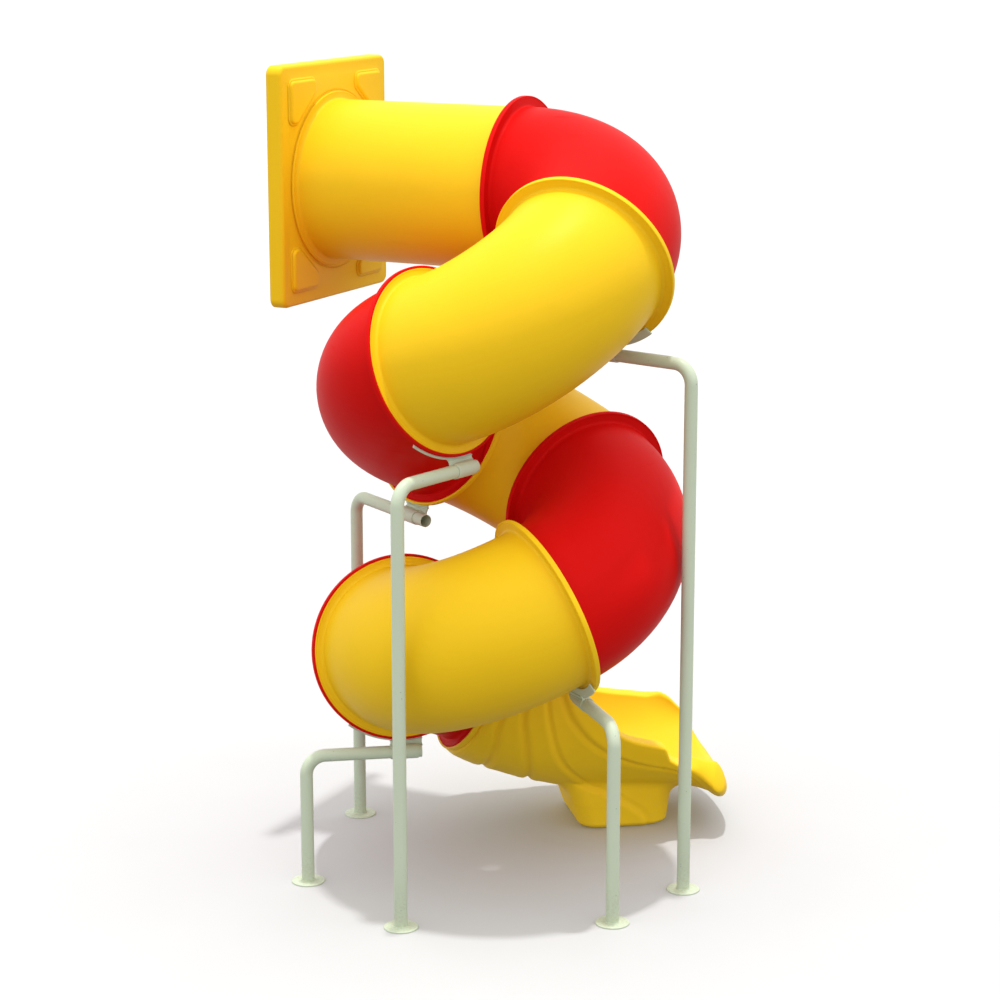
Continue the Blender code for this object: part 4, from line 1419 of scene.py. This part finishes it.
def make_web(number, bracket, sizes):
    """The plate from the saddle down to the sleeve, coped to the sleeve's round."""
    rings = []
    for step in range(11):
        share = step / 10
        ring = []
        for out, lift in plate_section(2 * web_width(share), sizes.plate_edge):
            along = PLATE_MIDDLE + lift
            start, stop = web_ends(bracket, out, along)
            ring.append(bracket.point(out, start + (stop - start) * share, along))
        rings.append(ring)
    settle(lofted(f"saddle_web_{number}_plate", rings), "cream_powder_coat", f"saddle_web_{number}")


def make_sleeve(number, bracket, sizes):
    radius = POST_RADIUS + GAP + SLEEVE_WALL
    stations = [SLEEVE_LENGTH * step / 4 for step in range(1, 4)]
    piece = bent_tube(
        f"arm_sleeve_{number}_pipe", pipe_section(SLEEVE_LENGTH, radius, SLEEVE_WALL, stations),
        bracket.arm_centre + bracket.arm_out * (SLEEVE_SHIFT - SLEEVE_LENGTH / 2), bracket.arm_out,
        bracket.arm_out.cross(UP), cream_coat(), sides=sizes.pipe_sides)
    settle(piece, "cream_powder_coat", f"arm_sleeve_{number}")


def make_welds(name, paths, sizes):
    """Weld beads along open or closed rows of points."""
    vertices = []
    edges = []
    for path, closed in paths:
        first = len(vertices)
        vertices += [tuple(point) for point in path]
        edges += [(first + step, first + step + 1) for step in range(len(path) - 1)]
        if closed:
            edges.append((len(vertices) - 1, first))
    mesh = bpy.data.meshes.new(name + "_paths")
    mesh.from_pydata(vertices, edges, [])
    values = {"Size": sizes.weld_size, "Pitch": sizes.weld_pitch, "Seed": WELD_SEED, "Finish": cream_coat()}
    settle(grow(name, mesh, shared_tree("weld_bead", weld_tree), values), "cream_powder_coat")


def bracket_welds(bracket):
    """Paths where the web meets the saddle and the sleeve, on both of its faces."""
    paths = []
    for side in (-1, 1):
        along = PLATE_MIDDLE + side * (SADDLE_THICKNESS / 2 + WELD_LIFT)
        for end in (0, 1):
            path = []
            for step in range(17):
                out = (WEB_WIDTH / 2 - 0.004) * (step / 8 - 1)
                down = web_ends(bracket, out, along)[end] + (0.0008, -0.0012)[end]
                path.append(bracket.point(out, down, along))
            paths.append((path, False))
    return paths


class SLIDE_OT_entry_panel(bpy.types.Operator):
    """Make the moulded entry panel"""

    bl_idname = "slide.entry_panel"
    bl_label = "Entry Panel"

    def execute(self, context):
        make_entry_panel(context.scene.slide_panel)
        return {"FINISHED"}


class SLIDE_OT_tubes(bpy.types.Operator):
    """Make the entry tube and the seven elbows"""

    bl_idname = "slide.tubes"
    bl_label = "Tube and Elbows"

    def execute(self, context):
        sizes = context.scene.slide_tube
        make_entry_tube(sizes)
        for number, elbow in enumerate(elbow_chain(), start=1):
            make_elbow(number, elbow, sizes)
        return {"FINISHED"}


class SLIDE_OT_exit_chute(bpy.types.Operator):
    """Make the grooved exit chute and its foot"""

    bl_idname = "slide.exit_chute"
    bl_label = "Exit Chute"

    def execute(self, context):
        make_exit_chute(context.scene.slide_chute)
        return {"FINISHED"}


class SLIDE_OT_posts(bpy.types.Operator):
    """Make the bent posts, their foot plates and the welds between them"""

    bl_idname = "slide.posts"
    bl_label = "Posts"

    def execute(self, context):
        sizes = context.scene.slide_steel
        welds = []
        radius = POST_RADIUS + 0.0008
        for number, (bracket, reach, overlap) in enumerate(post_brackets(), start=1):
            bottom = make_post(number, bracket, reach, overlap, sizes)
            make_foot_plate(number, bottom, sizes)
            ring = circle(bottom.x, bottom.y, radius, WELD_SIDES)
            welds.append(([(x, y, FOOT_THICKNESS + WELD_LIFT) for x, y in ring], True))
        make_welds("foot_welds", welds, sizes)
        return {"FINISHED"}


class SLIDE_OT_brackets(bpy.types.Operator):
    """Make the saddles, webs and sleeves that carry the joints, and their welds"""

    bl_idname = "slide.brackets"
    bl_label = "Saddle Brackets"

    def execute(self, context):
        sizes = context.scene.slide_steel
        welds = []
        for number, (bracket, _, _) in enumerate(post_brackets(), start=1):
            make_saddle(number, bracket, sizes)
            make_web(number, bracket, sizes)
            make_sleeve(number, bracket, sizes)
            welds += bracket_welds(bracket)
        make_welds("bracket_welds", welds, sizes)
        return {"FINISHED"}


def floor_finish():
    """Matt white studio floor with the faintest mottling."""
    material, graph, shader, spot = new_finish("studio_floor")
    mottle = graph.noise(spot, 1.5, 2.0)
    graph.feed(shader, "Base Color", graph.tint(mottle, (0.52, 0.52, 0.52), (0.54, 0.54, 0.54)))
    shader.inputs["Roughness"].default_value = 0.9
    shader.inputs["Specular IOR Level"].default_value = 0.1
    return material


class SLIDE_OT_stage(bpy.types.Operator):
    """Make the floor, the overhead light, the sky and the camera"""

    bl_idname = "slide.stage"
    bl_label = "Stage"

    def execute(self, context):
        scene = context.scene
        look = scene.slide_finish
        mesh = bpy.data.meshes.new("floor")
        corners = [(x * FLOOR_HALF, y * FLOOR_HALF, 0) for x, y in ((-1, -1), (1, -1), (1, 1), (-1, 1))]
        mesh.from_pydata(corners, [], [(0, 1, 2, 3)])
        mesh.materials.append(floor_finish())
        floor = link("floor", mesh)
        floor.visible_diffuse = False
        sun = bpy.data.lights.new("overhead_sun", "SUN")
        sun.energy = look.sunlight
        sun.angle = radians(2.0)
        lamp = link("overhead_sun", sun)
        lamp.rotation_euler = SUN_TOWARD.to_track_quat("Z", "Y").to_euler()
        world = bpy.data.worlds.new("studio_sky")
        world.use_nodes = True
        graph = Graph(world.node_tree)
        sky = world.node_tree.nodes["Background"]
        sky.inputs["Color"].default_value = (1, 1, 1, 1)
        toward = graph.node("ShaderNodeTexCoord", output="Generated")
        upward = graph.node("ShaderNodeSeparateXYZ", None, {0: toward}, "Z")
        lean = {0: toward, 1: SKY_LEAN}
        side = graph.node("ShaderNodeVectorMath", {"operation": "DOT_PRODUCT"}, lean, "Value")
        shade = look.groundlight * (0.6 + graph.step(upward, -1.0, 0.0) * 0.4)
        dome = look.skylight * (0.84 + graph.step(upward, 0.0, 1.0) * 0.32) - look.groundlight
        graph.feed(sky, "Strength", (shade + graph.step(upward, -0.03, 0.08) * dome) * (side + 1.0))
        scene.world = world
        view = bpy.data.cameras.new("camera")
        view.sensor_width = 36
        view.lens = CAMERA_LENS
        view.clip_end = 500
        camera = link("camera", view)
        camera.location = ANCHOR + CAMERA_OFFSET
        camera.rotation_euler = CAMERA_TURN
        scene.camera = camera
        scene.view_settings.view_transform = "Standard"
        return {"FINISHED"}


MAKERS = (
    SLIDE_OT_entry_panel, SLIDE_OT_tubes, SLIDE_OT_exit_chute, SLIDE_OT_posts, SLIDE_OT_brackets,
    SLIDE_OT_stage,
)


class SLIDE_PT_sidebar(bpy.types.Panel):
    """Lists the slide's operators with their sizes and colours"""

    bl_idname = "SLIDE_PT_sidebar"
    bl_label = "Spiral Tube Slide"
    bl_space_type = "VIEW_3D"
    bl_region_type = "UI"
    bl_category = "Slide"

    def draw(self, context):
        for name in GROUPS:
            group = getattr(context.scene, name)
            box = self.layout.box()
            for key in group.__annotations__:
                box.prop(group, key)
        for maker in MAKERS:
            self.layout.operator(maker.bl_idname)


GROUPS = {
    "slide_tube": TubeSizes, "slide_panel": PanelSizes, "slide_chute": ChuteSizes,
    "slide_steel": SteelSizes, "slide_finish": SlideFinish,
}


def register():
    for group in GROUPS.values():
        bpy.utils.register_class(group)
    for name, group in GROUPS.items():
        setattr(bpy.types.Scene, name, bpy.props.PointerProperty(type=group))
    for maker in MAKERS:
        bpy.utils.register_class(maker)
    bpy.utils.register_class(SLIDE_PT_sidebar)


def unregister():
    bpy.utils.unregister_class(SLIDE_PT_sidebar)
    for maker in reversed(MAKERS):
        bpy.utils.unregister_class(maker)
    for name, group in GROUPS.items():
        delattr(bpy.types.Scene, name)
        bpy.utils.unregister_class(group)


def main():
    register()
    bpy.ops.slide.entry_panel()
    bpy.ops.slide.tubes()
    bpy.ops.slide.exit_chute()
    bpy.ops.slide.posts()
    bpy.ops.slide.brackets()
    bpy.ops.slide.stage()


if __name__ == "__main__":
    main()
